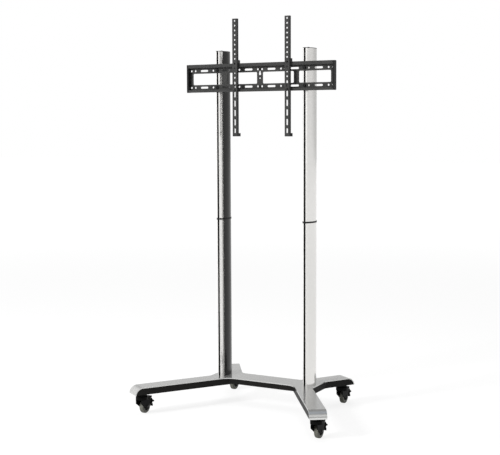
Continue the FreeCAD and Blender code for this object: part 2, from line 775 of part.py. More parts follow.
def bolt(name, shank, length, head, head_high, placement):
    """Screw with a cylinder head below Z = 0 and its shank along +Z."""
    stem = cylinder(f"{name}_shank", shank, length, Placement())
    cap = cylinder(f"{name}_head", head, head_high, Placement())
    cap.setExpression("Placement.Base.z", f"-({head_high})")
    return placed(fuse(name, [stem, cap]), placement)


def build_column_screws():
    """Foot bolts from below and spigot screws inside the cable duct."""
    foot_bolts = []
    spigot_screws = []
    for side in SIDES.values():
        x = side * column_x
        for v in (port_front, port_back):
            foot_bolts.append(bolt("foot_bolt", "Sizes.foot_bolt_round", "Sizes.foot_bolt_long",
                                   "Sizes.foot_bolt_head", "Sizes.foot_bolt_head_high",
                                   at(x, v, web_under)))
        outward = Rotation(Vector(0, 0, 1), Vector(side, 0, 0))
        for level in spigot_screw_levels():
            spigot_screws.append(bolt("spigot_screw", "Sizes.spigot_screw_bore",
                                      "Sizes.spigot_screw_long", "Sizes.spigot_screw_head",
                                      "Sizes.spigot_screw_head_high",
                                      at(x - side * S.duct_floor, S.column_deep / 2, level,
                                         outward)))
    group("column_foot_bolts", foot_bolts)
    group("spigot_screws", spigot_screws)


def rail_profile(gauge_in):
    """Rail section in depth and height: face, two flanges forward, two lips."""
    g = S.rail_gauge
    deep = S.rail_deep
    points = [
        (0, -S.rail_dn), (0, S.rail_up), (g - deep, S.rail_up), (g - deep, lip_top),
        (-deep, lip_top), (-deep, S.rail_up - g), (-g, S.rail_up - g), (-g, g - S.rail_dn),
        (-deep, g - S.rail_dn), (-deep, -S.rail_dn - S.lip_dn),
        (g - deep, -S.rail_dn - S.lip_dn), (g - deep, -S.rail_dn),
    ]
    big = S.rail_bend
    small = S.rail_bend - gauge_in
    return rounded(points, [big, big, small, 0, 0, big, small, small, big, 0, 0, small])


def hole_places():
    """Places of the rail's round holes and slots on one side of its middle."""
    slots = []
    holes = []
    centre = S.rail_slot_pitch / 2
    side = (S.rail_slot_pitch - S.rail_hole_apart) / 2
    limit = S.rail_long / 2 - S.rail_cap_thick - S.rail_hole
    while centre - side < limit:
        holes.append(centre - side)
        if centre + side < limit:
            slots.append(centre)
            holes.append(centre + side)
        centre += S.rail_slot_pitch
    return slots, holes


def build_rail():
    """Steel rail with windows, hole rows and keyhole."""
    steel = S.rail_long - 2 * S.rail_cap_thick
    body = new_body("tv_rail", at(0, 0, rail_mid))
    profile = sketch(body, "rail_profile", "YZ_Plane", rail_profile(S.rail_gauge), -steel / 2)
    pad(body, profile, "Sizes.rail_long - 2*Sizes.rail_cap_thick")
    window = (steel / 2 - S.centre_strut / 2 - S.mid_strut - S.end_strut) / 2
    half_high = S.window_high / 2
    windows = []
    for side in (-1, 1):
        for near in (S.centre_strut / 2, S.centre_strut / 2 + window + S.mid_strut):
            low, high = sorted((side * near, side * (near + window)))
            corners = rectangle(low, -half_high, high, half_high)
            windows += rounded(corners, [S.window_round] * len(corners))
    through(body, sketch(body, "rail_windows", "XZ_Plane", windows), reverse=True)
    slots, holes = hole_places()
    row_edges = []
    for side in (-1, 1):
        for level in (-S.row_spread / 2, S.row_spread / 2):
            for centre in slots:
                row_edges += slot_edges(side * centre, level, S.rail_slot_long, S.rail_hole)
    drawing = sketch(body, "rail_rows", "XZ_Plane", row_edges)
    for side in (-1, 1):
        for level in (-S.row_spread / 2, S.row_spread / 2):
            for centre in holes:
                add_circle(drawing, side * centre, level, "rail_hole")
    for level in (-S.row_spread / 2, S.row_spread / 2):
        add_circle(drawing, 0, level, "plug_round", "Sizes.run_gap")
    add_circle(drawing, 0, S.key_up - S.key_dot_down, "key_dot")
    through(body, drawing, reverse=True)
    through(body, sketch(body, "rail_keyhole", "XZ_Plane", keyhole_edges()), reverse=True)


def keyhole_edges():
    """Drop shaped hole: wide round end below, narrow round end above."""
    low = Vector(0, S.key_up, 0)
    high = Vector(0, S.key_up + S.key_high, 0)
    lean = math.asin((S.key_round - S.key_neck) / S.key_high)
    right = Vector(math.cos(lean), math.sin(lean), 0)
    left = Vector(-right.x, right.y, 0)
    return [
        Part.LineSegment(low + right * S.key_round, high + right * S.key_neck),
        Part.Arc(high + right * S.key_neck, high + Vector(0, S.key_neck, 0),
                 high + left * S.key_neck),
        Part.LineSegment(high + left * S.key_neck, low + left * S.key_round),
        Part.Arc(low + left * S.key_round, low - Vector(0, S.key_round, 0),
                 low + right * S.key_round),
    ]


def build_rail_caps():
    """Plastic end caps with two tongues that grip the rail's face."""
    deep = S.rail_deep
    outline = rectangle(-deep, -S.rail_dn - S.lip_dn, 0, lip_top)
    for name, side in SIDES.items():
        inner = side * (S.rail_long / 2 - S.rail_cap_thick)
        body = new_body(f"rail_end_cap_{name}", at(0, 0, rail_mid))
        edges = rounded(outline, [S.rail_bend] * len(outline))
        plate = sketch(body, f"cap_plate_{name}", "YZ_Plane", edges, inner)
        pad(body, plate, "Sizes.rail_cap_thick", reverse=side < 0)
        front = -S.rail_gauge - S.rail_tongue_thick
        tongues = []
        for low, high in ((S.window_high / 2, S.row_spread / 2 - S.rail_hole),
                          (S.rail_hole - S.row_spread / 2, -S.window_high / 2)):
            corners = rectangle(front, low, -S.rail_gauge, high)
            tongues += rounded(corners, [0] * len(corners))
        drawing = sketch(body, f"cap_tongues_{name}", "YZ_Plane", tongues, inner)
        pad(body, drawing, "Sizes.rail_cap_tongue", reverse=side > 0)


def build_rail_fasteners():
    """Rail bolts with washers, T nuts in the column slots, plugs."""
    bolts = []
    nuts = []
    plugs = []
    back = Rotation(Vector(0, 0, 1), Vector(0, 1, 0))
    for level in (rail_mid - S.row_spread / 2, rail_mid + S.row_spread / 2):
        for side in SIDES.values():
            bolts.append(rail_bolt(side * column_x, level, back))
            nuts.append(t_nut(side * column_x, level, back))
        plugs.append(bolt("rail_plug", "Sizes.plug_round", "Sizes.rail_gauge", "Sizes.plug_head",
                          "Sizes.plug_head_high", at(0, -S.rail_gauge, level, back)))
    group("rail_bolts", bolts)
    group("rail_t_nuts", nuts)
    group("rail_plugs", plugs)


def rail_bolt(x, level, back):
    """Hexagon socket bolt with its washer, through the rail into a T nut."""
    length = "Sizes.rail_gauge + Sizes.washer_thick + Sizes.slot_lip + Sizes.nut_thick"
    screw = bolt("rail_bolt", "Sizes.rail_bolt_round", length, "Sizes.rail_bolt_head",
                 "Sizes.rail_bolt_head_high", Placement())
    washer = cylinder("rail_washer", "Sizes.washer_round", "Sizes.washer_thick", Placement())
    socket = doc.addObject("Part::Prism", "rail_socket")
    socket.Polygon = 6
    socket.setExpression("Circumradius", "Sizes.rail_bolt_head * Sizes.hex_share")
    socket.setExpression("Height", "Sizes.rail_bolt_head_high * Sizes.hex_share")
    socket.setExpression("Placement.Base.z", "-Sizes.rail_bolt_head_high")
    whole = cut("rail_bolt_whole", fuse("rail_bolt_body", [screw, washer]), socket)
    return placed(whole, at(x, -S.rail_gauge - S.washer_thick, level, back))


def t_nut(x, level, back):
    """T nut: a block behind the lips with a neck between them."""
    wide = S.slot_cavity_wide / 2 - S.nut_play
    neck = S.slot_wide / 2 - S.nut_play
    lip = slab(-wide, S.slot_lip, -S.nut_long / 2, wide, S.slot_lip + S.nut_thick, S.nut_long / 2)
    rib = slab(-neck, S.nut_play, -S.nut_long / 2, neck, S.slot_lip, S.nut_long / 2)
    reach = S.slot_lip + S.nut_thick + S.overrun
    bore = Part.makeCylinder(S.rail_bolt_round + S.run_gap, reach, Vector(0, 0, 0),
                             Vector(0, 1, 0))
    nut = doc.addObject("Part::Feature", "t_nut")
    nut.Shape = lip.fuse(rib).cut(bore).removeSplitter()
    nut.Placement = at(x, 0, level)
    return nut


def arm_outline():
    """Side view of an arm in depth and height from the rail's middle."""
    top = S.arm_up
    bottom = S.arm_up - S.arm_long
    throat = lip_top + S.glide_gap
    tip = S.rail_up + S.hook_tip_gap
    behind = S.rail_gauge - S.rail_deep + S.glide_gap
    back = arm_back + S.hook_deep
    crown = lip_top + S.hook_over
    points = [
        (arm_face, bottom), (arm_back, bottom), (arm_back, throat), (behind, throat),
        (behind, tip), (back, tip), (back, crown), (arm_back, crown), (arm_back, top),
        (arm_face, top),
    ]
    corner = S.arm_gauge
    radii = [corner, corner, 0, 0, 0, corner, S.hook_round, 0, corner, corner]
    return rounded(points, radii)


def arm_slot_places():
    """Heights and lengths of the arm's slots, from the rail's middle."""
    last = S.arm_up - S.arm_hole_first - (S.arm_hole_count - 1) * S.arm_hole_pitch
    first = last - S.arm_slot_first
    places = [(first - i * S.arm_slot_pitch, S.arm_slot_long)
              for i in range(int(S.arm_slot_count))]
    places.append((S.arm_up - S.arm_long + S.arm_end_slot_up, S.arm_end_slot_long))
    return places


def build_arm(name, x):
    """Channel with hooks, bolt holes, slots and a weld nut for the lock screw."""
    body = new_body(f"tv_arm_{name}", at(x, 0, rail_mid))
    half = S.arm_wide / 2
    side_view = sketch(body, f"arm_side_{name}", "YZ_Plane", arm_outline(), -half)
    pad(body, side_view, "Sizes.arm_wide")
    inner = half - S.arm_gauge
    room = rectangle(-inner, arm_face + S.arm_gauge, inner, S.overrun)
    room_edges = rounded(room, [0] * len(room))
    above = S.arm_up + S.overrun
    through(body, sketch(body, f"arm_room_{name}", "XY_Plane", room_edges, above))
    boss = sketch(body, f"arm_nut_{name}", "XZ_Plane", [], -arm_face - S.arm_gauge)
    add_circle(boss, 0, lock_level, "weld_nut_round")
    pad(body, boss, "Sizes.weld_nut_high", reverse=True)
    slots = []
    for level, length in arm_slot_places():
        upright = slot_edges(0, 0, length, S.arm_hole)
        for edge in upright:
            edge.rotate(Placement(Vector(0, 0, 0), Rotation(Vector(0, 0, 1), 90)))
            edge.translate(Vector(0, level, 0))
        slots += upright
    drawing = sketch(body, f"arm_holes_{name}", "XZ_Plane", slots)
    for i in range(int(S.arm_hole_count)):
        level = S.arm_up - S.arm_hole_first - i * S.arm_hole_pitch
        add_circle(drawing, 0, level, "arm_hole")
    add_circle(drawing, 0, lock_level, "lock_round", "Sizes.run_gap")
    through(body, drawing, reverse=True)


def build_arm_foot(name, x):
    """Plastic foot with a tongue inside the arm."""
    body = new_body(f"arm_foot_{name}", at(x, 0, rail_mid + S.arm_up - S.arm_long))
    half = S.arm_wide / 2
    inner = half - S.arm_gauge
    bar = rectangle(-half, arm_back, half, -S.foot_wall_gap)
    bar_edges = rounded(bar, [0, 0, S.foot_round, S.foot_round])
    pad(body, sketch(body, f"foot_bar_{name}", "XY_Plane", bar_edges), "Sizes.foot_high")
    tongue = rectangle(-inner, arm_face + S.arm_gauge, inner, arm_back)
    tongue_edges = rounded(tongue, [0] * len(tongue))
    drawing = sketch(body, f"foot_tongue_{name}", "XY_Plane", tongue_edges)
    pad(body, drawing, "Sizes.foot_high")


def build_arms():
    """Both arms with their feet and lock screws."""
    back = Rotation(Vector(0, 0, 1), Vector(0, 1, 0))
    places = {"left": -S.left_arm_out, "right": S.right_arm_out}
    length = "Sizes.arm_deep"
    for name, x in places.items():
        build_arm(name, x)
        build_arm_foot(name, x)
        screw = bolt(f"arm_lock_screw_{name}", "Sizes.lock_round", length, "Sizes.lock_head",
                     "Sizes.lock_head_high", at(x, arm_face, rail_mid + lock_level, back))
        keep(screw, f"arm_lock_screw_{name}")


# Castors: built about their swivel axis, then placed under a leg
def tangent_point(spot, centre, radius, turn):
    """Where a line from spot touches a circle, on the side that turn picks."""
    dx = spot[0] - centre[0]
    dy = spot[1] - centre[1]
    angle = math.atan2(dy, dx) + turn * math.acos(radius / math.hypot(dx, dy))
    return (centre[0] + radius * math.cos(angle), centre[1] + radius * math.sin(angle)), angle


def cheek_edges():
    """Side view of a fork: straight front, round the axle, up to the brake ear."""
    axle = (S.trail, S.wheel_round)
    front = (-S.cheek_front, S.cheek_low)
    ear = (S.pedal_pivot_back, S.pedal_pivot_high)
    rear = (ear[0] + S.ear_round, ear[1])
    low_front, angle_front = tangent_point(front, axle, S.cheek_boss, 1)
    low_rear, angle_rear = tangent_point(rear, axle, S.cheek_boss, -1)
    middle = (angle_front + angle_rear + 2 * math.pi) / 2
    bottom = (axle[0] + S.cheek_boss * math.cos(middle), axle[1] + S.cheek_boss * math.sin(middle))
    ear_side = ear[0] + S.ear_round * math.sqrt(2) / 2
    ear_up = ear[1] + S.ear_round * math.sqrt(2) / 2
    top_ear = (ear[0], ear[1] + S.ear_round)
    top_rear = (S.trail, S.cheek_top)
    top_front = (-S.cheek_front, S.cheek_top)

    def vec(point):
        return Vector(point[0], point[1], 0)

    return [
        Part.LineSegment(vec(top_front), vec(front)),
        Part.LineSegment(vec(front), vec(low_front)),
        Part.Arc(vec(low_front), vec(bottom), vec(low_rear)),
        Part.LineSegment(vec(low_rear), vec(rear)),
        Part.Arc(vec(rear), Vector(ear_side, ear_up, 0), vec(top_ear)),
        Part.LineSegment(vec(top_ear), vec(top_rear)),
        Part.LineSegment(vec(top_rear), vec(top_front)),
    ]


def build_fork(name, place):
    """Castor fork: two cheeks under a round crown, bored for pins and axle."""
    body = new_body(f"{name}_fork", place)
    cheeks = sketch(body, f"{name}_cheeks", "YZ_Plane", cheek_edges(), -S.fork_wide / 2)
    pad(body, cheeks, "Sizes.fork_wide")
    half = S.fork_gap / 2
    gap = rectangle(-half, -S.overrun, half, S.crown_under)
    gap_edges = rounded(gap, [0] * len(gap))
    ahead = S.cheek_front + S.overrun
    through(body, sketch(body, f"{name}_wheel_room", "XZ_Plane", gap_edges, ahead))
    behind = S.crown_round + S.face_gap
    room = rectangle(-half, behind, half, S.pedal_pivot_back + S.pedal_reach)
    room_edges = rounded(room, [0] * len(room))
    above = S.crown_top + S.overrun
    through(body, sketch(body, f"{name}_pedal_room", "XY_Plane", room_edges, above))
    crown = sketch(body, f"{name}_crown", "XY_Plane", [], S.crown_under)
    add_circle(crown, 0, 0, "crown_round")
    dome = pad(body, crown, "Sizes.crown_top - Sizes.crown_under")
    doc.recompute()
    edge = rim_edge(dome, S.crown_round, S.crown_top)
    soft = body.newObject("PartDesign::Fillet", f"{name}_crown_edge")
    soft.Base = (dome, [edge])
    soft.setExpression("Radius", "Sizes.crown_edge")
    king = Part.Circle(Vector(0, 0, 0), Vector(0, 0, 1), S.king_round + S.run_gap)
    through(body, sketch(body, f"{name}_king_bore", "XY_Plane", [king], above))
    axle = Part.Circle(Vector(S.trail, S.wheel_round, 0), Vector(0, 0, 1),
                       S.axle_round + S.run_gap)
    pin = Part.Circle(Vector(S.pedal_pivot_back, S.pedal_pivot_high, 0), Vector(0, 0, 1),
                      S.pin_round + S.run_gap)
    through(body, sketch(body, f"{name}_pin_bores", "YZ_Plane", [axle, pin], S.fork_wide))


def rim_edge(solid, radius, level):
    """Name of the round edge of a given radius at a given height."""
    for i, edge in enumerate(solid.Shape.Edges, start=1):
        curve = edge.Curve
        box = edge.BoundBox
        if isinstance(curve, Part.Circle) and abs(curve.Radius - radius) < S.run_gap:
            if abs(box.ZMin - level) < S.run_gap and abs(box.ZMax - level) < S.run_gap:
                return f"Edge{i}"
    raise ValueError(f"no round edge of radius {radius} at {level}")


def build_tyre(name, place):
    """Tyre with rounded shoulders."""
    body = new_body(f"{name}_tyre", place)
    half = S.wheel_wide / 2
    outline = [(-half, S.hub_round), (half, S.hub_round), (half, S.wheel_round),
               (-half, S.wheel_round)]
    edges = rounded(outline, [0, 0, S.tread_round, S.tread_round])
    revolve(body, sketch(body, f"{name}_tyre_profile", "XY_Plane", edges))


def build_wheel_hub(name, place):
    """Hub with a rim under the tyre, a thin web and a boss on the axle."""
    body = new_body(f"{name}_wheel_hub", place)
    half = S.wheel_wide / 2
    web = S.hub_web / 2
    bore = S.axle_round + S.run_gap
    rim = S.hub_round - S.hub_rim
    boss = S.fork_gap / 2 - S.face_gap
    outline = [(-boss, bore), (boss, bore), (boss, S.hub_boss), (web, S.hub_boss), (web, rim),
               (half, rim), (half, S.hub_round), (-half, S.hub_round), (-half, rim),
               (-web, rim), (-web, S.hub_boss), (-boss, S.hub_boss)]
    edges = rounded(outline, [0] * len(outline))
    revolve(body, sketch(body, f"{name}_hub_profile", "XY_Plane", edges))


def riveted_pin(label, radius, head, head_high, place):
    """Pin across the fork with a flat head on both ends."""
    reach = S.fork_wide / 2
    outline = [(0, -reach - head_high), (head, -reach - head_high), (head, -reach),
               (radius, -reach), (radius, reach), (head, reach), (head, reach + head_high),
               (0, reach + head_high)]
    across = Placement(Vector(0, 0, 0), Rotation(Vector(0, 0, 1), Vector(1, 0, 0)))
    feature(label, turned(outline), place.multiply(across))


def pedal_edges():
    """Side view of the brake pedal: boss, upper tab, tongue, lower lobe, shoe."""
    pivot = (S.pedal_pivot_back, S.pedal_pivot_high)
    axle = (S.trail, S.wheel_round)
    shoe = S.wheel_round + S.brake_gap

    def vec(point):
        return Vector(point[0], point[1], 0)

    def on_shoe(angle):
        lean = math.radians(angle)
        return (axle[0] + shoe * math.cos(lean), axle[1] + shoe * math.sin(lean))

    boss_top = (pivot[0], pivot[1] + S.pedal_boss)
    boss_front = (pivot[0] - S.pedal_boss, pivot[1])
    lean = math.sqrt(2) / 2
    boss_middle = (pivot[0] - S.pedal_boss * lean, pivot[1] + S.pedal_boss * lean)
    outline = [boss_top]
    outline += [(pivot[0] + back * S.pedal_reach, pivot[1] + up * S.pedal_reach)
                for back, up in PEDAL_BACK_SHARES]
    outline.append(on_shoe(SHOE_LOW_ANGLE))
    edges = [Part.LineSegment(vec(a), vec(b)) for a, b in zip(outline, outline[1:])]
    shoe_middle = on_shoe((SHOE_LOW_ANGLE + SHOE_HIGH_ANGLE) / 2)
    edges.append(Part.Arc(vec(outline[-1]), vec(shoe_middle), vec(on_shoe(SHOE_HIGH_ANGLE))))
    edges.append(Part.LineSegment(vec(on_shoe(SHOE_HIGH_ANGLE)), vec(boss_front)))
    edges.append(Part.Arc(vec(boss_front), vec(boss_middle), vec(boss_top)))
    return edges


def build_pedal(name, place):
    """Brake pedal that rocks on its pin above the wheel's trailing side."""
    body = new_body(f"{name}_brake_pedal", place)
    side_view = sketch(body, f"{name}_pedal_side", "YZ_Plane", pedal_edges(), -S.pedal_wide / 2)
    pad(body, side_view, "Sizes.pedal_wide")
    tread = [(S.pedal_pivot_back + back * S.pedal_reach, S.pedal_pivot_high + up * S.pedal_reach)
             for back, up in (*PEDAL_BACK_SHARES[PEDAL_TREAD_FROM:], PEDAL_TREAD_FRONT)]
    tread_edges = rounded(tread, [0] * len(tread))
    drawing = sketch(body, f"{name}_pedal_tread", "YZ_Plane", tread_edges,
                     -S.pedal_tread_wide / 2)
    pad(body, drawing, "Sizes.pedal_tread_wide")
    pin = Part.Circle(Vector(S.pedal_pivot_back, S.pedal_pivot_high, 0), Vector(0, 0, 1),
                      S.pin_round + S.run_gap)
    bore = sketch(body, f"{name}_pedal_bore", "YZ_Plane", [pin], S.pedal_tread_wide)
    through(body, bore)


def stem_shape():
    """Stem, fixed raceway, king pin and its riveted head, in one turned piece."""
    race_under = S.crown_top + S.face_gap
    head_top = S.crown_under - S.face_gap
    head_bottom = head_top - S.king_head_high
    top = S.caster_high + S.stem_long
    return turned([
        (0, head_bottom), (S.king_head, head_bottom), (S.king_head, head_top),
        (S.king_round, head_top), (S.king_round, race_under), (S.race_round, race_under),
        (S.race_round, race_under + S.race_lip), (S.race_neck, S.caster_high),
        (S.stem_round, S.caster_high), (S.stem_round, top), (0, top),
    ])


def build_casters():
    """Four castors and the group of their stems."""
    stems = []
    for side_name, (front, back) in LEGS.items():
        for end_name, leg in (("front", front), ("back", back)):
            name = f"caster_{end_name}_{side_name}"
            x, y = leg.axis
            ground = at(x, y, 0)
            hub = at(x, y + S.trail, S.wheel_round)
            build_fork(name, ground)
            build_tyre(name, hub)
            build_wheel_hub(name, hub)
            build_pedal(name, ground)
            riveted_pin(f"{name}_axle", S.axle_round, S.axle_head, S.axle_head_high, hub)
            pivot = at(x, y + S.pedal_pivot_back, S.pedal_pivot_high)
            riveted_pin(f"{name}_brake_pin", S.pin_round, S.ear_round / 2, S.axle_head_high / 2,
                        pivot)
            stem = doc.addObject("Part::Feature", f"{name}_stem")
            stem.Shape = stem_shape()
            stem.Placement = ground
            stems.append(stem)
    group("caster_stems", stems)


def write_parts():
    """Check every object, then write each sub-part to its own file."""
    doc.recompute()
    for obj in doc.Objects:
        if "Invalid" in obj.State or "Error" in obj.State:
            raise RuntimeError(f"{obj.Label} failed: {obj.State}")
    os.makedirs("parts", exist_ok=True)
    for label, obj in nodes.items():
        shape = obj.Shape
        if shape.isNull() or not shape.isValid():
            raise RuntimeError(f"{label} has no valid shape")
        shape.exportStep(os.path.join("parts", label + ".step"))
        print(f"{label:34s} solids {len(shape.Solids):2d}  volume {shape.Volume / 1000:9.2f} cm3")
    print(len(nodes), "sub-parts, slot plane at", slot_plane)


build_deck()
channel_rooms = {name: build_side_channel(name, side) for name, side in SIDES.items()}
build_cross_channel()
build_sockets(channel_rooms)
build_columns()
build_column_screws()
build_rail()
build_rail_caps()
build_rail_fasteners()
build_arms()
build_casters()
write_parts()
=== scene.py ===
"""Looks of a mobile stand for a large television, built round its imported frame.

The frame's solids keep their shape and place. This script gives every one of them its finish,
adds the small pieces that only the eye needs, and sets a pale studio and the camera.
"""

import logging
import math
from dataclasses import dataclass, field
from enum import Enum
from typing import Iterable, Sequence

import bmesh
import bpy
from mathutils import Matrix, Vector


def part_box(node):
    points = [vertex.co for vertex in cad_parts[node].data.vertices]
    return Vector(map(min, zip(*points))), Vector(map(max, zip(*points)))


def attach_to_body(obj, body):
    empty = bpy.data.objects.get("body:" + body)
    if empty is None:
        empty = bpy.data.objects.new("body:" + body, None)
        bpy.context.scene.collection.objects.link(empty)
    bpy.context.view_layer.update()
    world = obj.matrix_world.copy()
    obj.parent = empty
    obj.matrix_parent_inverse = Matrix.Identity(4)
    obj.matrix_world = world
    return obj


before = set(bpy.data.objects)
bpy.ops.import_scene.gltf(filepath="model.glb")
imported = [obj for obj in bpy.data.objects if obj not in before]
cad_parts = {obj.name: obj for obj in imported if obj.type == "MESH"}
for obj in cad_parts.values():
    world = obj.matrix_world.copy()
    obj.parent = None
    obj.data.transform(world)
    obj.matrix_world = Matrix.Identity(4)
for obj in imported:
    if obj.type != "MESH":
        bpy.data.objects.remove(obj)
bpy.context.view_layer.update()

log = logging.getLogger("tv_stand")
MM = 0.001
QUARTER = math.pi / 2
X_AXIS = Vector((1.0, 0.0, 0.0))
Y_AXIS = Vector((0.0, 1.0, 0.0))

Triple = tuple[float, float, float]
Pair = tuple[float, float]


# Shader building

class Wire:
    """One socket's value in a node tree, with arithmetic written as Python operators."""

    def __init__(self, tree: "Tree", socket: bpy.types.NodeSocket) -> None:
        """Wrap a socket of a tree."""
        self.tree = tree
        self.socket = socket

    def _maths(self, operation: str, *values: "Wire | float") -> "Wire":
        """Add one Math node for an operation on values."""
        inputs = dict(enumerate(values))
        return self.tree.node("ShaderNodeMath", {"operation": operation}, inputs)

    def __add__(self, other: "Wire | float") -> "Wire":
        """Sum."""
        return self._maths("ADD", self, other)

    def __radd__(self, other: float) -> "Wire":
        """Sum with a number on the left."""
        return self._maths("ADD", other, self)

    def __sub__(self, other: "Wire | float") -> "Wire":
        """Difference."""
        return self._maths("SUBTRACT", self, other)

    def __rsub__(self, other: float) -> "Wire":
        """Number minus this value."""
        return self._maths("SUBTRACT", other, self)

    def __mul__(self, other: "Wire | float") -> "Wire":
        """Product."""
        return self._maths("MULTIPLY", self, other)

    def __rmul__(self, other: float) -> "Wire":
        """Product with a number on the left."""
        return self._maths("MULTIPLY", other, self)

    def __truediv__(self, other: "Wire | float") -> "Wire":
        """Quotient."""
        return self._maths("DIVIDE", self, other)

    def __rtruediv__(self, other: float) -> "Wire":
        """Number divided by this value."""
        return self._maths("DIVIDE", other, self)

    def __pow__(self, other: "Wire | float") -> "Wire":
        """Power."""
        return self._maths("POWER", self, other)

    def __rpow__(self, other: float) -> "Wire":
        """Number raised to this value."""
        return self._maths("POWER", other, self)

    def __abs__(self) -> "Wire":
        """Distance from zero."""
        return self._maths("ABSOLUTE", self)

    def largest(self, other: "Wire | float") -> "Wire":
        """Larger of two values."""
        return self._maths("MAXIMUM", self, other)

    def above(self, edge: float, soft: float) -> "Wire":
        """Smooth step from 0 to 1 as the value passes an edge.

        Args:
            edge: value at the middle of the step.
            soft: width of the step.

        Returns:
            A mask between 0 and 1.
        """
        settings = {"interpolation_type": "SMOOTHSTEP"}
        inputs = {"Value": self, "From Min": edge - soft / 2, "From Max": edge + soft / 2}
        return self.tree.node("ShaderNodeMapRange", settings, inputs)

    def between(self, low: float, high: float) -> "Wire":
        """Map 0..1 to low..high."""
        return self * (high - low) + low


Value = Wire | float | Sequence[float]
Inputs = dict[str | int, Value]


class Tree:
    """Any node tree, with one method for any node."""

    def __init__(self, tree: bpy.types.NodeTree) -> None:
        """Start from an emptied tree."""
        self.tree = tree
        tree.nodes.clear()

    def node(self, kind: str, settings: dict[str, object], inputs: Inputs,
             output: str | int = 0) -> Wire:
        """Add a node of any kind.

        Args:
            kind: the node's type.
            settings: attributes to set first, such as a Math node's operation.
            inputs: values or wires by the name or number of their sockets.
            output: name or number of the socket to return.

        Returns:
            The wire of that output.
        """
        made = self.tree.nodes.new(kind)
        for name, value in settings.items():
            setattr(made, name, value)
        for name, value in inputs.items():
            socket = made.inputs[name]
            if isinstance(value, Wire):
                self.tree.links.new(value.socket, socket)
            elif isinstance(value, tuple):
                count = len(socket.default_value)
                socket.default_value = (value + (1.0,))[:count]
            else:
                socket.default_value = value
        return Wire(self, made.outputs[output])

    def finish(self, kind: str, last: Wire) -> None:
        """Add the tree's output node and lead the last wire to it."""
        out = self.tree.nodes.new(kind)
        self.tree.links.new(last.socket, out.inputs[0])


class ShaderTree(Tree):
    """A material's or the world's node tree."""

    def axes(self, where: Wire) -> tuple[Wire, Wire, Wire]:
        """Split a position into its X, Y and Z."""
        x, y, z = (self.node("ShaderNodeSeparateXYZ", {}, {0: where}, axis) for axis in "XYZ")
        return x, y, z

    def background_rays(self) -> Wire:
        """Find the rays that see the backdrop: camera, mirror and glass rays.

        Returns:
            A mask that is 1 on those rays and 0 on the others.
        """
        rays = ("Is Camera Ray", "Is Glossy Ray", "Is Transmission Ray")
        camera, glossy, clear = (self.node("ShaderNodeLightPath", {}, {}, ray) for ray in rays)
        return camera.largest(glossy).largest(clear)

    def place(self) -> Wire:
        """Object coordinates, in metres in the frame of the stand."""
        return self.node("ShaderNodeTexCoord", {}, {}, "Object")

    def stretched(self, scale: Triple) -> Wire:
        """Object coordinates scaled per axis."""
        return self.node("ShaderNodeMapping", {}, {"Vector": self.place(), "Scale": scale})

    def cells(self, size: float) -> Wire:
        """Distance to the nearest point of a random scatter, with cells of a size."""
        return self.node("ShaderNodeTexVoronoi", {}, {"Vector": self.place(), "Scale": 1 / size})

    def blend(self, mask: Wire | float, low: Value, high: Value) -> Wire:
        """Mix two colours by a mask."""
        inputs = {"Factor": mask, 6: low, 7: high}
        return self.node("ShaderNodeMix", {"data_type": "RGBA"}, inputs, 2)

    def bump(self, height: Wire, depth: float) -> Wire:
        """Normal bumped by a height field between 0 and 1 that is really so deep, in metres."""
        return self.node("ShaderNodeBump", {},
                         {"Height": height, "Distance": depth, "Strength": 1.0})


@dataclass(frozen=True)
class Noise:
    """Fractal noise between 0 and 1, with its scale in cycles per metre."""

    scale: float
    detail: float = 2.0
    roughness: float = 0.5
    stretch: Triple | None = None

    def over(self, tree: ShaderTree) -> Wire:
        """Lay the noise over a surface.

        Args:
            tree: the material's tree.

        Returns:
            The noise at each point of the surface.
        """
        where = tree.stretched(self.stretch) if self.stretch else tree.place()
        inputs = {"Vector": where, "Scale": self.scale, "Detail": self.detail,
                  "Roughness": self.roughness}
        return tree.node("ShaderNodeTexNoise", {}, inputs)


@dataclass(frozen=True)
class Finish:
    """What every finish shares. Tones are the shares of its colour that it varies between."""

    name: str
    colour: Triple
    roughness: float = 0.5
    metallic: float = 0.0
    coat: float = 0.0
    specular: float = 0.5
    coat_roughness: float = 0.15
    tones: Pair = (1.0, 1.0)

    def build(self) -> bpy.types.Material:
        """Make the material once and reuse it afterwards.

        Returns:
            The finish's material.
        """
        found = bpy.data.materials.get(self.name)
        if found:
            return found
        material = bpy.data.materials.new(self.name)
        material.use_nodes = True
        material.diffuse_color = (*self.colour, 1.0)
        tree = ShaderTree(material.node_tree)
        inputs: Inputs = {
            "Base Color": self.colour, "Roughness": self.roughness, "Metallic": self.metallic,
            "Coat Weight": self.coat, "Coat Roughness": self.coat_roughness,
            "Specular IOR Level": self.specular,
        }
        inputs.update(self.surface(tree))
        shader = tree.node("ShaderNodeBsdfPrincipled", {}, inputs)
        tree.finish("ShaderNodeOutputMaterial", shader)
        return material

    def surface(self, tree: ShaderTree) -> Inputs:
        """Inputs that vary over the surface; plain here."""
        return {}

    def shade(self, factor: float) -> Triple:
        """The finish's colour made lighter or darker."""
        red, green, blue = (min(1.0, channel * factor) for channel in self.colour)
        return red, green, blue

    def mottled(self, tree: ShaderTree, mask: Wire) -> Wire:
        """The finish's colour, varied by a mask from its darkest to its lightest tone."""
        darkest, lightest = self.tones
        return tree.blend(mask, self.shade(darkest), self.shade(lightest))


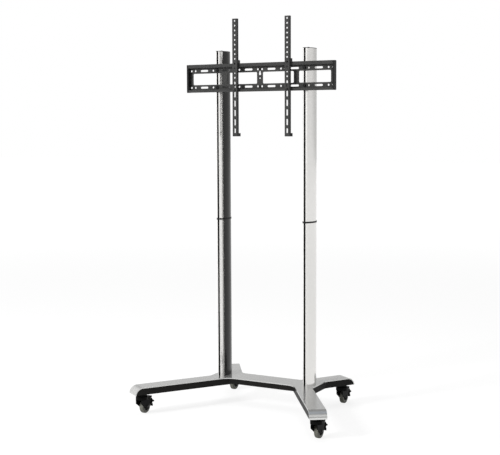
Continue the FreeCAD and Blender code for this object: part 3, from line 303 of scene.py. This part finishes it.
@dataclass(frozen=True)
class Extruded(Finish):
    """Anodised or moulded extrusion with fine lines along its length, +Z."""

    tones: Pair = (0.97, 1.03)
    lines: Noise = Noise(1 / (0.9 * MM), stretch=(1.0, 1.0, 0.002))
    line_depth: float = 0.0002 * MM
    line_gloss: Pair = (-0.02, 0.02)
    line_share: float = 0.35
    smudges: Noise = Noise(9.0, 3.0, stretch=(1.0, 1.0, 0.3))
    smudge_gloss: Pair = (-0.05, 0.05)

    def surface(self, tree: ShaderTree) -> Inputs:
        """Die lines, slight banding in tone and handling smudges.

        Args:
            tree: the material's tree.

        Returns:
            Base colour, roughness and normal.
        """
        lines = self.lines.over(tree)
        smudges = self.smudges.over(tree)
        tone = lines * self.line_share + smudges * (1 - self.line_share)
        gloss = lines.between(*self.line_gloss) + smudges.between(*self.smudge_gloss)
        return {
            "Base Color": self.mottled(tree, tone),
            "Roughness": gloss + self.roughness,
            "Normal": tree.bump(lines, self.line_depth),
        }


@dataclass(frozen=True)
class SlottedColumn(Extruded):
    """Silver extrusion with painted shade in its T slot, whose walls are painted black, with the
    slot's sizes from its middle.
    """

    # Painted shade: the near-black colour painted on the slot's walls, where shade falls in the
    # recess.
    slot_colour: Triple = (0.003, 0.003, 0.003)
    slot_dulling: float = 0.7
    # The painted shade's mouth is a little wider than the slot's opening, so it also darkens the
    # edges of the lips.
    mouth: float = 4.3 * MM
    cavity: float = 8.1 * MM
    lip: float = 5.4 * MM
    depth: float = 13.2 * MM
    sharp: float = 0.1 * MM

    def surface(self, tree: ShaderTree) -> Inputs:
        """The extrusion's look, with painted shade on the walls of both T slots, which are painted
        black.

        Args:
            tree: the material's tree.

        Returns:
            Base colour, roughness, metallic and normal.
        """
        inputs = super().surface(tree)
        x, y, _ = tree.axes(tree.place())
        aside = abs(abs(x) - middle("column_cap_right").x)
        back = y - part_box("column_lower_right")[0].y
        # Mask of the painted shade: the slot's mouth and its wider cavity behind the lips, down to
        # the slot's depth.
        mouth = 1 - aside.above(self.mouth, self.sharp)
        cavity = (1 - aside.above(self.cavity, self.sharp)) * back.above(self.lip, self.sharp)
        slot_shade = mouth.largest(cavity) * (1 - back.above(self.depth, self.sharp))
        # Painted shade: the slot's walls are made black, not metallic and duller.
        inputs["Base Color"] = tree.blend(slot_shade, inputs["Base Color"], self.slot_colour)
        inputs["Metallic"] = (1 - slot_shade) * self.metallic
        inputs["Roughness"] = inputs["Roughness"] + slot_shade * self.slot_dulling
        return inputs


@dataclass(frozen=True)
class PowderCoat(Finish):
    """Powder coat with a fine orange peel and a trace of dust."""

    tones: Pair = (0.9, 1.35)
    peel: Noise = Noise(1 / (1.1 * MM))
    peel_depth: float = 0.02 * MM
    peel_gloss: Pair = (-0.06, 0.06)
    speck: Noise = Noise(4 / (1.1 * MM), 1.0)
    speck_tone: float = 0.2
    speck_depth: float = 0.25
    dust: Noise = Noise(14.0, 4.0, 0.6)
    dust_step: Pair = (0.58, 0.3)
    dust_tone: float = 0.6
    dust_gloss: float = 0.12

    def surface(self, tree: ShaderTree) -> Inputs:
        """Orange peel, speckle and soft patches of dust.

        Args:
            tree: the material's tree.

        Returns:
            Base colour, roughness and normal.
        """
        peel = self.peel.over(tree)
        speck = self.speck.over(tree)
        dust = self.dust.over(tree).above(*self.dust_step)
        gloss = dust * self.dust_gloss + peel.between(*self.peel_gloss)
        return {
            "Base Color": self.mottled(tree, dust * self.dust_tone + speck * self.speck_tone),
            "Roughness": gloss + self.roughness,
            "Normal": tree.bump(peel + speck * self.speck_depth, self.peel_depth),
        }


@dataclass(frozen=True)
class SilverPaint(Finish):
    """Metallic silver paint on sheet: fine flakes under a satin clear coat."""

    tones: Pair = (0.93, 1.07)
    flake: float = 0.35 * MM
    flake_tone: float = 0.5
    flake_depth: float = 0.1
    cloud: Noise = Noise(7.0, 3.0)
    cloud_tone: float = 0.5
    cloud_gloss: Pair = (-0.04, 0.04)
    peel: Noise = Noise(700.0)
    peel_depth: float = 0.004 * MM
    scuff: Noise = Noise(60.0, 5.0, 0.7, (1.0, 3.0, 1.0))
    scuff_step: Pair = (0.68, 0.1)
    scuff_gloss: float = 0.08

    def surface(self, tree: ShaderTree) -> Inputs:
        """Flakes, soft cloudiness and faint scuffs.

        Args:
            tree: the material's tree.

        Returns:
            Base colour, roughness and normal.
        """
        flakes = tree.cells(self.flake)
        cloud = self.cloud.over(tree)
        peel = self.peel.over(tree)
        scuff = self.scuff.over(tree).above(*self.scuff_step)
        gloss = cloud.between(*self.cloud_gloss) + scuff * self.scuff_gloss
        return {
            "Base Color": self.mottled(tree, flakes * self.flake_tone + cloud * self.cloud_tone),
            "Roughness": gloss + self.roughness,
            "Normal": tree.bump(peel + flakes * self.flake_depth, self.peel_depth),
        }


@dataclass(frozen=True)
class Moulded(Finish):
    """Black plastic moulding with a spark-eroded grain."""

    tones: Pair = (0.85, 1.3)
    grain: float = 0.5 * MM
    grain_depth: float = 0.03 * MM
    patch: Noise = Noise(30.0, 4.0, 0.6)
    patch_gloss: Pair = (-0.08, 0.08)

    def surface(self, tree: ShaderTree) -> Inputs:
        """Leather-like grain and pale rubbed patches.

        Args:
            tree: the material's tree.

        Returns:
            Base colour, roughness and normal.
        """
        grain = tree.cells(self.grain)
        patch = self.patch.over(tree)
        return {
            "Base Color": self.mottled(tree, patch),
            "Roughness": patch.between(*self.patch_gloss) + self.roughness,
            "Normal": tree.bump(grain, self.grain_depth),
        }


@dataclass(frozen=True)
class Plated(Finish):
    """Zinc plated or blackened fasteners with fine turning marks."""

    tones: Pair = (0.8, 1.15)
    mottle: Noise = Noise(260.0, 4.0, 0.6)
    mottle_gloss: Pair = (-0.08, 0.1)
    mottle_depth: float = 0.5
    scratch: Noise = Noise(3000.0, stretch=(1.0, 0.1, 1.0))
    scratch_depth: float = 0.004 * MM

    def surface(self, tree: ShaderTree) -> Inputs:
        """Mottled plating and fine scratches.

        Args:
            tree: the material's tree.

        Returns:
            Base colour, roughness and normal.
        """
        mottle = self.mottle.over(tree)
        scratch = self.scratch.over(tree)
        return {
            "Base Color": self.mottled(tree, mottle),
            "Roughness": mottle.between(*self.mottle_gloss) + self.roughness,
            "Normal": tree.bump(scratch + mottle * self.mottle_depth, self.scratch_depth),
        }


@dataclass(frozen=True)
class Tread(Finish):
    """Soft grey wheel tread with scuffs and embedded dust."""

    tones: Pair = (1.0, 1.5)
    scuff: Noise = Noise(90.0, 5.0, 0.65, (4.0, 1.0, 1.0))
    scuff_depth: float = 0.6
    pores: Noise = Noise(1800.0)
    pore_depth: float = 0.03 * MM
    dust_step: Pair = (0.55, 0.25)
    dust_gloss: Pair = (-0.05, 0.12)

    def surface(self, tree: ShaderTree) -> Inputs:
        """Scuffs along the rolling direction and fine pores.

        Args:
            tree: the material's tree.

        Returns:
            Base colour, roughness and normal.
        """
        scuff = self.scuff.over(tree)
        pores = self.pores.over(tree)
        dust = scuff.above(*self.dust_step)
        return {
            "Base Color": self.mottled(tree, dust),
            "Roughness": dust.between(*self.dust_gloss) + self.roughness,
            "Normal": tree.bump(pores + scuff * self.scuff_depth, self.pore_depth),
        }


class Coat(Enum):
    """The finishes of this stand."""

    DECK = SilverPaint("silver_deck_paint", (0.60, 0.60, 0.59), 0.2, 0.7, 0.25)
    COLUMN = SlottedColumn("anodised_column", (0.865, 0.855, 0.835), 0.16, 0.75)
    COVER = Extruded("black_cable_cover", (0.009, 0.009, 0.008), 0.2, specular=0.4)
    CHANNEL = PowderCoat("black_channel_coat", (0.007, 0.0065, 0.006), 0.5, specular=0.15)
    RAIL = PowderCoat("charcoal_coat", (0.056, 0.056, 0.055), 0.5, specular=0.12)
    MOULDING = Moulded("black_moulding", (0.009, 0.009, 0.009), 0.5, specular=0.25)
    PEDAL = Moulded("pedal_nylon", (0.004, 0.004, 0.004), 0.5, specular=0.08)
    FORK = PowderCoat("black_fork_paint", (0.003, 0.003, 0.003), 0.5, specular=0.06)
    BLACK_SCREW = Plated("black_oxide_screws", (0.012, 0.012, 0.012), 0.35, 0.2, specular=0.3)
    ZINC = Plated("zinc_plating", (0.55, 0.55, 0.53), 0.32, 1.0)
    TYRE = Tread("grey_tread", (0.15, 0.15, 0.13), 0.55, specular=0.15)
    HUB = Moulded("grey_hub_nylon", (0.06, 0.06, 0.055), 0.4)


def dress(nodes: Iterable[str], coat: Coat) -> None:
    """Give CAD nodes a finish.

    Args:
        nodes: names of the nodes.
        coat: their finish.
    """
    for name in nodes:
        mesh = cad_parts[name].data
        mesh.materials.clear()
        mesh.materials.append(coat.value.build())
        log.info("dressed %s with %s", name, coat.value.name)


class Side(Enum):
    """Left and right as seen from the front, with their direction along X."""

    LEFT = -1
    RIGHT = 1

    @property
    def word(self) -> str:
        """The side's name as the nodes spell it."""
        return self.name.lower()


# Small pieces, built on Geometry Nodes and mesh code

BAR_POINTS = 9
BAR_SIDES = 8
BAR_BULGE = 0.35
BAR_TIP = 0.4
RANDOM_SEED = 7
TURNING_STEPS = 28
MERGE_DISTANCE = 0.002 * MM
SHARP_ANGLE = math.radians(38.0)


class ShapeTree(Tree):
    """A Geometry Nodes tree with named sizes, which is baked to a plain mesh."""

    def __init__(self, name: str) -> None:
        """Start a tree with one output for its geometry.

        Args:
            name: the tree's name.
        """
        super().__init__(bpy.data.node_groups.new(name, "GeometryNodeTree"))
        self.name = name
        self.tree.interface.new_socket("Geometry", in_out="OUTPUT",
                                       socket_type="NodeSocketGeometry")
        self.entry = self.tree.nodes.new("NodeGroupInput")
        self.values: dict[str, float | int] = {}

    def size(self, name: str, value: float | int) -> Wire:
        """Add a named input to the tree.

        Args:
            name: the input's name.
            value: its value; a whole number makes a whole-number socket.

        Returns:
            The input's wire.
        """
        kind = "NodeSocketInt" if isinstance(value, int) else "NodeSocketFloat"
        item = self.tree.interface.new_socket(name, in_out="INPUT", socket_type=kind)
        self.values[item.identifier] = value
        return Wire(self, self.entry.outputs[name])

    def bar(self, length: float, thick: float) -> Wire:
        """Bar along X with rounded flanks and tapering ends.

        Args:
            length: end to end length.
            thick: diameter at the middle.

        Returns:
            The bar's geometry.
        """
        long = self.size("Bar length", length)
        radius = self.size("Bar thickness", thick) / 2
        ends = [self.node("ShaderNodeCombineXYZ", {}, {"X": long * half}) for half in (-0.5, 0.5)]
        line = self.node("GeometryNodeCurvePrimitiveLine", {}, {"Start": ends[0], "End": ends[1]})
        fine = self.node("GeometryNodeResampleCurve", {}, {"Curve": line, "Count": BAR_POINTS})
        spread = self.node("GeometryNodeSplineParameter", {}, {}, "Factor") * 2 - 1
        taper = (1 - spread * spread) ** BAR_BULGE * (1 - BAR_TIP) + BAR_TIP
        profile = self.node("GeometryNodeCurvePrimitiveCircle", {},
                            {"Resolution": BAR_SIDES, "Radius": radius})
        return self.node("GeometryNodeCurveToMesh", {},
                         {"Curve": fine, "Profile Curve": profile, "Scale": taper,
                          "Fill Caps": True})

    def row(self, shape: Wire, count: int, pitch: float) -> Wire:
        """Copies of a shape set along Y.

        Args:
            shape: geometry of one copy.
            count: how many copies.
            pitch: distance from one copy to the next.

        Returns:
            The instances.
        """
        step = self.node("ShaderNodeCombineXYZ", {}, {"Y": self.size("Pitch", pitch)})
        points = self.node("GeometryNodeMeshLine", {},
                           {"Count": self.size("Count", count), "Offset": step})
        return self.node("GeometryNodeInstanceOnPoints", {}, {"Points": points, "Instance": shape})

    def ring(self, shape: Wire, count: int, radius: float, turn: Triple,
             stretch: Triple = (1.0, 1.0, 1.0), uneven: float = 0.0) -> Wire:
        """Copies of a shape round Z, each with its own X pointing outwards.

        Args:
            shape: geometry of one copy.
            count: how many copies.
            radius: ring radius.
            turn: rotation of the shape before it is copied.
            stretch: scale of the shape after that turn.
            uneven: random share by which the copies differ in size.

        Returns:
            The instances.
        """
        circle = self.node("GeometryNodeMeshCircle", {},
                           {"Vertices": self.size("Count", count),
                            "Radius": self.size("Ring radius", radius)})
        turned_shape = self.node("GeometryNodeTransform", {},
                                 {"Geometry": shape, "Rotation": turn})
        shaped = self.node("GeometryNodeTransform", {},
                           {"Geometry": turned_shape, "Scale": stretch})
        outward = self.node("FunctionNodeAlignRotationToVector", {"axis": "X"},
                            {"Vector": self.node("GeometryNodeInputPosition", {}, {})})
        spread = self.size("Unevenness", uneven)
        scale = self.node("FunctionNodeRandomValue", {"data_type": "FLOAT"},
                          {2: 1 - spread, 3: 1 + spread, "Seed": RANDOM_SEED}, 1)
        return self.node("GeometryNodeInstanceOnPoints", {},
                         {"Points": circle, "Instance": shaped, "Rotation": outward,
                          "Scale": scale})

    def bake(self, shape: Wire, coat: Coat) -> bpy.types.Mesh:
        """Evaluate the tree once.

        Args:
            shape: geometry or instances to bake.
            coat: the shape's finish.

        Returns:
            A plain mesh.
        """
        solid = self.node("GeometryNodeRealizeInstances", {}, {0: shape})
        painted = self.node("GeometryNodeSetMaterial", {},
                            {"Geometry": solid, "Material": coat.value.build()})
        self.finish("NodeGroupOutput", painted)
        carrier = bpy.data.objects.new(self.name, bpy.data.meshes.new(self.name))
        bpy.context.scene.collection.objects.link(carrier)
        modifier = carrier.modifiers.new("shape", "NODES")
        modifier.node_group = self.tree
        for identifier, value in self.values.items():
            modifier[identifier] = value
        graph = bpy.context.evaluated_depsgraph_get()
        mesh = bpy.data.meshes.new_from_object(carrier.evaluated_get(graph))
        bpy.data.objects.remove(carrier)
        return mesh


def turned(profile: Sequence[Pair]) -> bpy.types.Mesh:
    """Turned solid round Z.

    Args:
        profile: radius and height of each point, from axis to axis.

    Returns:
        A closed mesh.
    """
    shape = bmesh.new()
    points = [shape.verts.new((radius, 0.0, height)) for radius, height in profile]
    lines = [shape.edges.new(pair) for pair in zip(points, points[1:])]
    bmesh.ops.spin(shape, geom=points + lines, axis=(0.0, 0.0, 1.0), cent=(0.0, 0.0, 0.0),
                   angle=math.tau, steps=TURNING_STEPS)
    bmesh.ops.remove_doubles(shape, verts=shape.verts, dist=MERGE_DISTANCE)
    mesh = bpy.data.meshes.new("turned")
    shape.to_mesh(mesh)
    shape.free()
    return mesh


def attach(name: str, parts: Iterable[tuple[bpy.types.Mesh, Matrix]], coat: Coat, body: str) -> None:
    """Join placed meshes into one piece that rides on a body.

    Args:
        name: the piece's name.
        parts: meshes with their places in the frame.
        coat: the piece's finish.
        body: the body it moves with.
    """
    joined = bmesh.new()
    for mesh, place in parts:
        copy = mesh.copy()
        copy.transform(place)
        joined.from_mesh(copy)
        bpy.data.meshes.remove(copy)
    bmesh.ops.recalc_face_normals(joined, faces=joined.faces)
    mesh = bpy.data.meshes.new(name)
    joined.to_mesh(mesh)
    joined.free()
    mesh.materials.clear()
    mesh.materials.append(coat.value.build())
    mesh.shade_smooth()
    mesh.set_sharp_from_angle(angle=SHARP_ANGLE)
    piece = bpy.data.objects.new(name, mesh)
    bpy.context.scene.collection.objects.link(piece)
    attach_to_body(piece, body)
    log.info("attached %s to %s, %d faces", name, body, len(mesh.polygons))


def middle(node: str) -> Vector:
    """Middle of a CAD node's box."""
    low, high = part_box(node)
    return (low + high) / 2


def facing(place: Vector, outward: Vector, along: Vector) -> Matrix:
    """Set Z along one direction and X along another, at a place.

    Args:
        place: where the origin goes.
        outward: direction of Z.
        along: direction that X follows as far as Z allows.

    Returns:
        The matrix of that place and turn.
    """
    z_axis = outward.normalized()
    x_axis = (along - z_axis * along.dot(z_axis)).normalized()
    axes = Matrix((x_axis, z_axis.cross(x_axis), z_axis)).transposed()
    return Matrix.Translation(place) @ axes.to_4x4()


# The stand's sub-assemblies

@dataclass
class Base:
    """Silver deck on black channels."""

    socket_radius: float = 15.0 * MM
    bead: float = 3.2 * MM
    bead_stretch: float = 1.7
    bead_count: int = 26
    bead_height: float = 114.6 * MM
    unevenness: float = 0.15

    def build(self) -> None:
        """Dress the deck, the channels and what is screwed or welded to them."""
        dress(["base_deck"], Coat.DECK)
        dress(["side_channel_left", "side_channel_right", "cross_channel", "caster_sockets"],
              Coat.CHANNEL)
        dress(["caster_stems"], Coat.FORK)
        dress(["column_foot_bolts"], Coat.ZINC)
        self.welds()

    def welds(self) -> None:
        """Weld bead where each castor socket meets the channel."""
        tree = ShapeTree("weld_bead")
        blob = tree.bar(self.bead * self.bead_stretch, self.bead)
        ring = tree.ring(blob, self.bead_count, self.socket_radius, (0.0, 0.0, QUARTER),
                         uneven=self.unevenness)
        bead = tree.bake(ring, Coat.CHANNEL)
        parts = []
        for caster in casters():
            axis = caster.swivel_axis
            axis.z = self.bead_height
            parts.append((bead, Matrix.Translation(axis)))
        attach("socket_weld_beads", parts, Coat.CHANNEL, "stand")


# Domed socket screw: radius and height of its profile, as shares of its own, from axis to axis
SCREW_PROFILE_SHARES = (
    (0.0, 0.45), (0.35, 0.45), (0.38, 0.97), (0.6, 0.93), (0.85, 0.68), (1.0, 0.25),
    (1.0, 0.0), (0.0, 0.0),
)


@dataclass
class Columns:
    """Two oval columns in two lengths, with cable covers, rings and caps."""

    screw_radius: float = 4.6 * MM
    screw_height: float = 3.6 * MM
    screw_places: Pair = (38.0 * MM, 92.0 * MM)

    def build(self) -> None:
        """Dress each length and its trim, and screw the caps down."""
        for side in Side:
            word = side.word
            dress([f"column_lower_{word}", f"column_upper_{word}"], Coat.COLUMN)
            dress([f"cable_cover_lower_{word}", f"cable_cover_upper_{word}"], Coat.COVER)
            dress([f"joint_ring_{word}", f"column_cap_{word}"], Coat.MOULDING)
            dress([f"column_spigot_{word}"], Coat.ZINC)
            self.cap_screws(word)
        dress(["spigot_screws"], Coat.ZINC)

    def cap_screws(self, word: str) -> None:
        """Two domed socket screws on top of a column's cap.

        Args:
            word: left or right.
        """
        screw = turned([(self.screw_radius * out, self.screw_height * up)
                        for out, up in SCREW_PROFILE_SHARES])
        x = middle(f"column_cap_{word}").x
        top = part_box(f"column_cap_{word}")[1].z
        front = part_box(f"column_upper_{word}")[0].y
        parts = [(screw, Matrix.Translation((x, front + back, top)))
                 for back in self.screw_places]
        attach(f"cap_screws_{word}", parts, Coat.BLACK_SCREW, "stand")


@dataclass
class Rail:
    """Perforated rail that carries the arms."""

    def build(self) -> None:
        """Dress the rail, its caps and its fasteners."""
        dress(["tv_rail"], Coat.RAIL)
        dress(["rail_end_cap_left", "rail_end_cap_right", "rail_plugs"], Coat.MOULDING)
        dress(["rail_bolts"], Coat.BLACK_SCREW)
        dress(["rail_t_nuts"], Coat.ZINC)


@dataclass
class Arm:
    """One screen arm."""

    side: Side
    knurl: float = 0.9 * MM
    knurl_share: float = 0.8
    knurl_count: int = 22

    def build(self) -> None:
        """Dress the channel, its foot and its lock screw, and knurl the screw's head."""
        word = self.side.word
        dress([f"tv_arm_{word}"], Coat.RAIL)
        dress([f"arm_foot_{word}"], Coat.MOULDING)
        dress([f"arm_lock_screw_{word}"], Coat.BLACK_SCREW)
        low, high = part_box(f"arm_lock_screw_{word}")
        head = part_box(f"tv_arm_{word}")[0].y - low.y
        tree = ShapeTree(f"knurl_{word}")
        ridge = tree.bar(head * self.knurl_share, self.knurl)
        ring = tree.ring(ridge, self.knurl_count, (high.x - low.x) / 2, (0.0, QUARTER, 0.0))
        place = Vector(((low.x + high.x) / 2, low.y + head / 2, (low.z + high.z) / 2))
        parts = [(tree.bake(ring, Coat.BLACK_SCREW), facing(place, -Y_AXIS, X_AXIS))]
        attach(f"lock_screw_knurl_{word}", parts, Coat.BLACK_SCREW, f"arm_{word}")


@dataclass
class Caster:
    """One braked swivel castor, with places in its side view from the swivel axis."""

    place: str
    trail: float = 22.0 * MM
    web_half: float = 3.0 * MM
    spoke_inner: float = 7.0 * MM
    spoke_outer: float = 18.4 * MM
    spoke_thick: float = 1.6 * MM
    spoke_stretch: Triple = (1.0, 1.0, 3.2)
    spoke_count: int = 10
    rib_first: Pair = (61.0 * MM, 52.55 * MM)
    rib_last: Pair = (73.25 * MM, 45.4 * MM)
    rib_length: float = 23.0 * MM
    rib_thick: float = 1.3 * MM
    rib_count: int = 4

    @property
    def wheel_middle(self) -> Vector:
        """Middle of the wheel."""
        return middle(f"caster_{self.place}_tyre")

    @property
    def swivel_axis(self) -> Vector:
        """Point of the swivel axis at the wheel's height."""
        return self.wheel_middle - Y_AXIS * self.trail

    def build(self) -> None:
        """Dress fork, wheel, pedal and pins, and add the wheel's and the pedal's ribs."""
        stem = f"caster_{self.place}"
        dress([f"{stem}_fork"], Coat.FORK)
        dress([f"{stem}_tyre"], Coat.TYRE)
        dress([f"{stem}_wheel_hub"], Coat.HUB)
        dress([f"{stem}_brake_pedal"], Coat.PEDAL)
        dress([f"{stem}_axle", f"{stem}_brake_pin"], Coat.BLACK_SCREW)
        self.spokes()
        self.treads()

    def spokes(self) -> None:
        """Radial stiffening ribs on both sides of the hub's web."""
        tree = ShapeTree(f"spokes_{self.place}")
        bar = tree.bar(self.spoke_outer - self.spoke_inner, self.spoke_thick)
        ring = tree.ring(bar, self.spoke_count, (self.spoke_outer + self.spoke_inner) / 2,
                         (0.0, 0.0, 0.0), self.spoke_stretch)
        mesh = tree.bake(ring, Coat.HUB)
        parts = [(mesh, facing(self.wheel_middle + X_AXIS * side.value * self.web_half,
                               X_AXIS * side.value, Y_AXIS)) for side in Side]
        attach(f"hub_spokes_{self.place}", parts, Coat.HUB, f"wheel_{self.place}")

    def treads(self) -> None:
        """Cross ribs on the brake pedal's tongue."""
        first = self.swivel_axis + Y_AXIS * self.rib_first[0]
        last = self.swivel_axis + Y_AXIS * self.rib_last[0]
        first.z, last.z = self.rib_first[1], self.rib_last[1]
        along = (last - first).normalized()
        pitch = (last - first).length / (self.rib_count + 1)
        tree = ShapeTree(f"treads_{self.place}")
        row = tree.row(tree.bar(self.rib_length, self.rib_thick), self.rib_count, pitch)
        mesh = tree.bake(row, Coat.PEDAL)
        parts = [(mesh, facing(first + along * pitch, X_AXIS.cross(along), X_AXIS))]
        attach(f"pedal_ribs_{self.place}", parts, Coat.PEDAL, f"pedal_{self.place}")


def casters() -> list[Caster]:
    """The four castors: front left, front right, back left, back right."""
    return [Caster(f"{end}_{side.word}") for end in ("front", "back") for side in Side]


# Camera and studio

@dataclass
class Camera:
    """The photograph's viewpoint, solved from the stand's own straight edges."""

    image_width: float = 500.0
    sensor: float = 36.0
    focal_pixels: float = 1090.37
    place: Vector = field(default_factory=lambda: Vector((2.19411, -4.108204, 1.23303)))
    yaw: float = math.radians(28.4985)
    pitch: float = math.radians(5.3215)
    roll: float = math.radians(-0.2316)
    clip: Pair = (0.1, 60.0)

    def build(self) -> None:
        """Create the camera and make it the scene's."""
        data = bpy.data.cameras.new("studio_camera")
        data.sensor_width = self.sensor
        data.lens = self.focal_pixels / self.image_width * self.sensor
        data.clip_start, data.clip_end = self.clip
        camera = bpy.data.objects.new("studio_camera", data)
        bpy.context.scene.collection.objects.link(camera)
        right = Vector((math.cos(self.yaw), math.sin(self.yaw), 0.0))
        ahead = Vector((-math.sin(self.yaw) * math.cos(self.pitch),
                        math.cos(self.yaw) * math.cos(self.pitch), -math.sin(self.pitch)))
        up = right.cross(ahead)
        turned_right = right * math.cos(self.roll) + up * math.sin(self.roll)
        turned_up = up * math.cos(self.roll) - right * math.sin(self.roll)
        axes = Matrix((turned_right, turned_up, -ahead)).transposed()
        camera.matrix_world = Matrix.Translation(self.place) @ axes.to_4x4()
        bpy.context.scene.camera = camera
        log.info("camera lens %.2f mm", data.lens)


@dataclass(frozen=True)
class Lamp:
    """A square soft lamp that mirrors don't show. Size in metres, power in watts."""

    name: str
    place: Triple
    size: float
    power: float
    aim: Triple = (0.0, 0.0, 0.8)

    def build(self) -> None:
        """Hang the lamp and turn it to the middle of the stand."""
        data = bpy.data.lights.new(self.name, "AREA")
        data.size = self.size
        data.energy = self.power
        lamp = bpy.data.objects.new(self.name, data)
        lamp.visible_glossy = False
        bpy.context.scene.collection.objects.link(lamp)
        towards = Vector(self.aim) - Vector(self.place)
        turn = towards.to_track_quat("-Z", "Y").to_matrix().to_4x4()
        lamp.matrix_world = Matrix.Translation(Vector(self.place)) @ turn


@dataclass(frozen=True)
class Surround:
    """What polished metal mirrors: white walls, a dark ceiling, one soft box.

    A step is the edge and the softness of a zone, in parts of the direction's length. A gain or a
    loss is what the zone adds to the level or takes from it.
    """

    front: Pair = (0.45, 0.9)
    front_gain: float = 0.55
    back: Pair = (0.75, 0.8)
    back_loss: float = 0.33
    right: Pair = (0.1, 1.2)
    right_loss: float = 0.12
    left: Pair = (0.65, 0.25)
    left_lift: float = 0.2
    ceiling: Pair = (0.3, 0.12)
    ceiling_loss: float = 0.72
    box_side: Pair = (0.75, 0.5)
    box_height: Pair = (0.52, 0.14)
    box_gain: float = 0.65
    zenith: Pair = (0.93, 0.08)
    zenith_colour: Triple = (0.36, 0.40, 0.46)

    def colour(self, tree: ShaderTree) -> Wire:
        """Colour of the studio by direction.

        Args:
            tree: the world's tree.

        Returns:
            The colour's wire.
        """
        x, y, z = tree.axes(tree.place())
        front = (0 - y).above(*self.front) * self.front_gain
        back = y.above(*self.back) * self.back_loss
        walls = 1.0 + front - back - x.above(*self.right) * self.right_loss
        lift = (0 - x).above(*self.left) * self.left_lift
        ceiling = (z - lift).above(*self.ceiling) * self.ceiling_loss
        box = (x - y).above(*self.box_side) * z.above(*self.box_height) * self.box_gain
        level = walls * (1 - ceiling) + box
        even = tree.node("ShaderNodeCombineColor", {},
                         {"Red": level, "Green": level, "Blue": level})
        return tree.blend(z.above(*self.zenith), even, self.zenith_colour)


def grey(level: float) -> Triple:
    """Grey of a level."""
    return level, level, level


@dataclass
class Studio:
    """White floor and backdrop with soft studio light.

    The floor shows the eye its glow, near and far, and its shade gives it the stand's shadow.
    """

    floor_half: float = 30.0
    floor_white: float = 0.8
    near_glow: float = 0.84
    far_glow: float = 0.965
    fade: Pair = (6.0, 8.0)
    floor_shade: float = 0.25
    plain_level: float = 0.25
    lamps: tuple[Lamp, ...] = (
        Lamp("key", (-2.4, -4.6, 3.0), 1.0, 230.0),
        Lamp("fill", (3.6, -2.4, 2.2), 3.0, 8.0),
        Lamp("top", (-0.5, 0.2, 4.6), 3.0, 60.0),
    )
    surround: Surround = Surround()

    def build(self) -> None:
        """Make floor, lamps and world."""
        self.floor()
        for lamp in self.lamps:
            lamp.build()
        self.world()

    def floor(self) -> None:
        """White floor that keeps the stand's shadow."""
        mesh = bpy.data.meshes.new("studio_floor")
        half = self.floor_half
        corners = [(-half, -half, 0.0), (half, -half, 0.0), (half, half, 0.0),
                   (-half, half, 0.0)]
        mesh.from_pydata(corners, [], [(0, 1, 2, 3)])
        floor = bpy.data.objects.new("studio_floor", mesh)
        bpy.context.scene.collection.objects.link(floor)
        material = bpy.data.materials.new("studio_floor_white")
        material.use_nodes = True
        tree = ShaderTree(material.node_tree)
        diffuse = tree.node("ShaderNodeBsdfDiffuse", {}, {"Color": grey(self.floor_white)})
        shade = tree.node("ShaderNodeBsdfDiffuse", {}, {"Color": grey(self.floor_shade)})
        away = tree.node("ShaderNodeVectorMath", {"operation": "LENGTH"}, {0: tree.place()},
                         "Value")
        colour = tree.blend(away.above(*self.fade), grey(self.near_glow), grey(self.far_glow))
        glow = tree.node("ShaderNodeEmission", {}, {"Color": colour, "Strength": 1.0})
        both = tree.node("ShaderNodeAddShader", {}, {0: shade, 1: glow})
        mixed = tree.node("ShaderNodeMixShader", {},
                          {0: tree.background_rays(), 1: diffuse, 2: both})
        tree.finish("ShaderNodeOutputMaterial", mixed)
        mesh.materials.append(material)

    def world(self) -> None:
        """White backdrop for the eye, a studio's lights and darks for mirrors."""
        world = bpy.data.worlds.new("studio_world")
        bpy.context.scene.world = world
        world.use_nodes = True
        tree = ShaderTree(world.node_tree)
        white, plain, mirrored = (
            tree.node("ShaderNodeBackground", {}, {"Color": colour, "Strength": strength})
            for colour, strength in ((grey(1.0), 1.0), (grey(1.0), self.plain_level),
                                     (self.surround.colour(tree), 1.0)))
        camera = tree.node("ShaderNodeLightPath", {}, {}, "Is Camera Ray")
        lit = tree.node("ShaderNodeMixShader", {},
                        {0: tree.background_rays(), 1: plain, 2: mirrored})
        mixed = tree.node("ShaderNodeMixShader", {}, {0: camera, 1: lit, 2: white})
        tree.finish("ShaderNodeOutputWorld", mixed)


def main() -> None:
    """Build every sub-assembly in order."""
    logging.basicConfig(level=logging.INFO, format="%(name)s: %(message)s")
    bpy.context.scene.view_settings.view_transform = "Standard"
    for part in (Base(), Columns(), Rail(), Arm(Side.LEFT), Arm(Side.RIGHT), *casters()):
        part.build()
        log.info("built %s", part)
    Camera().build()
    Studio().build()


if __name__ == "__main__":
    main()
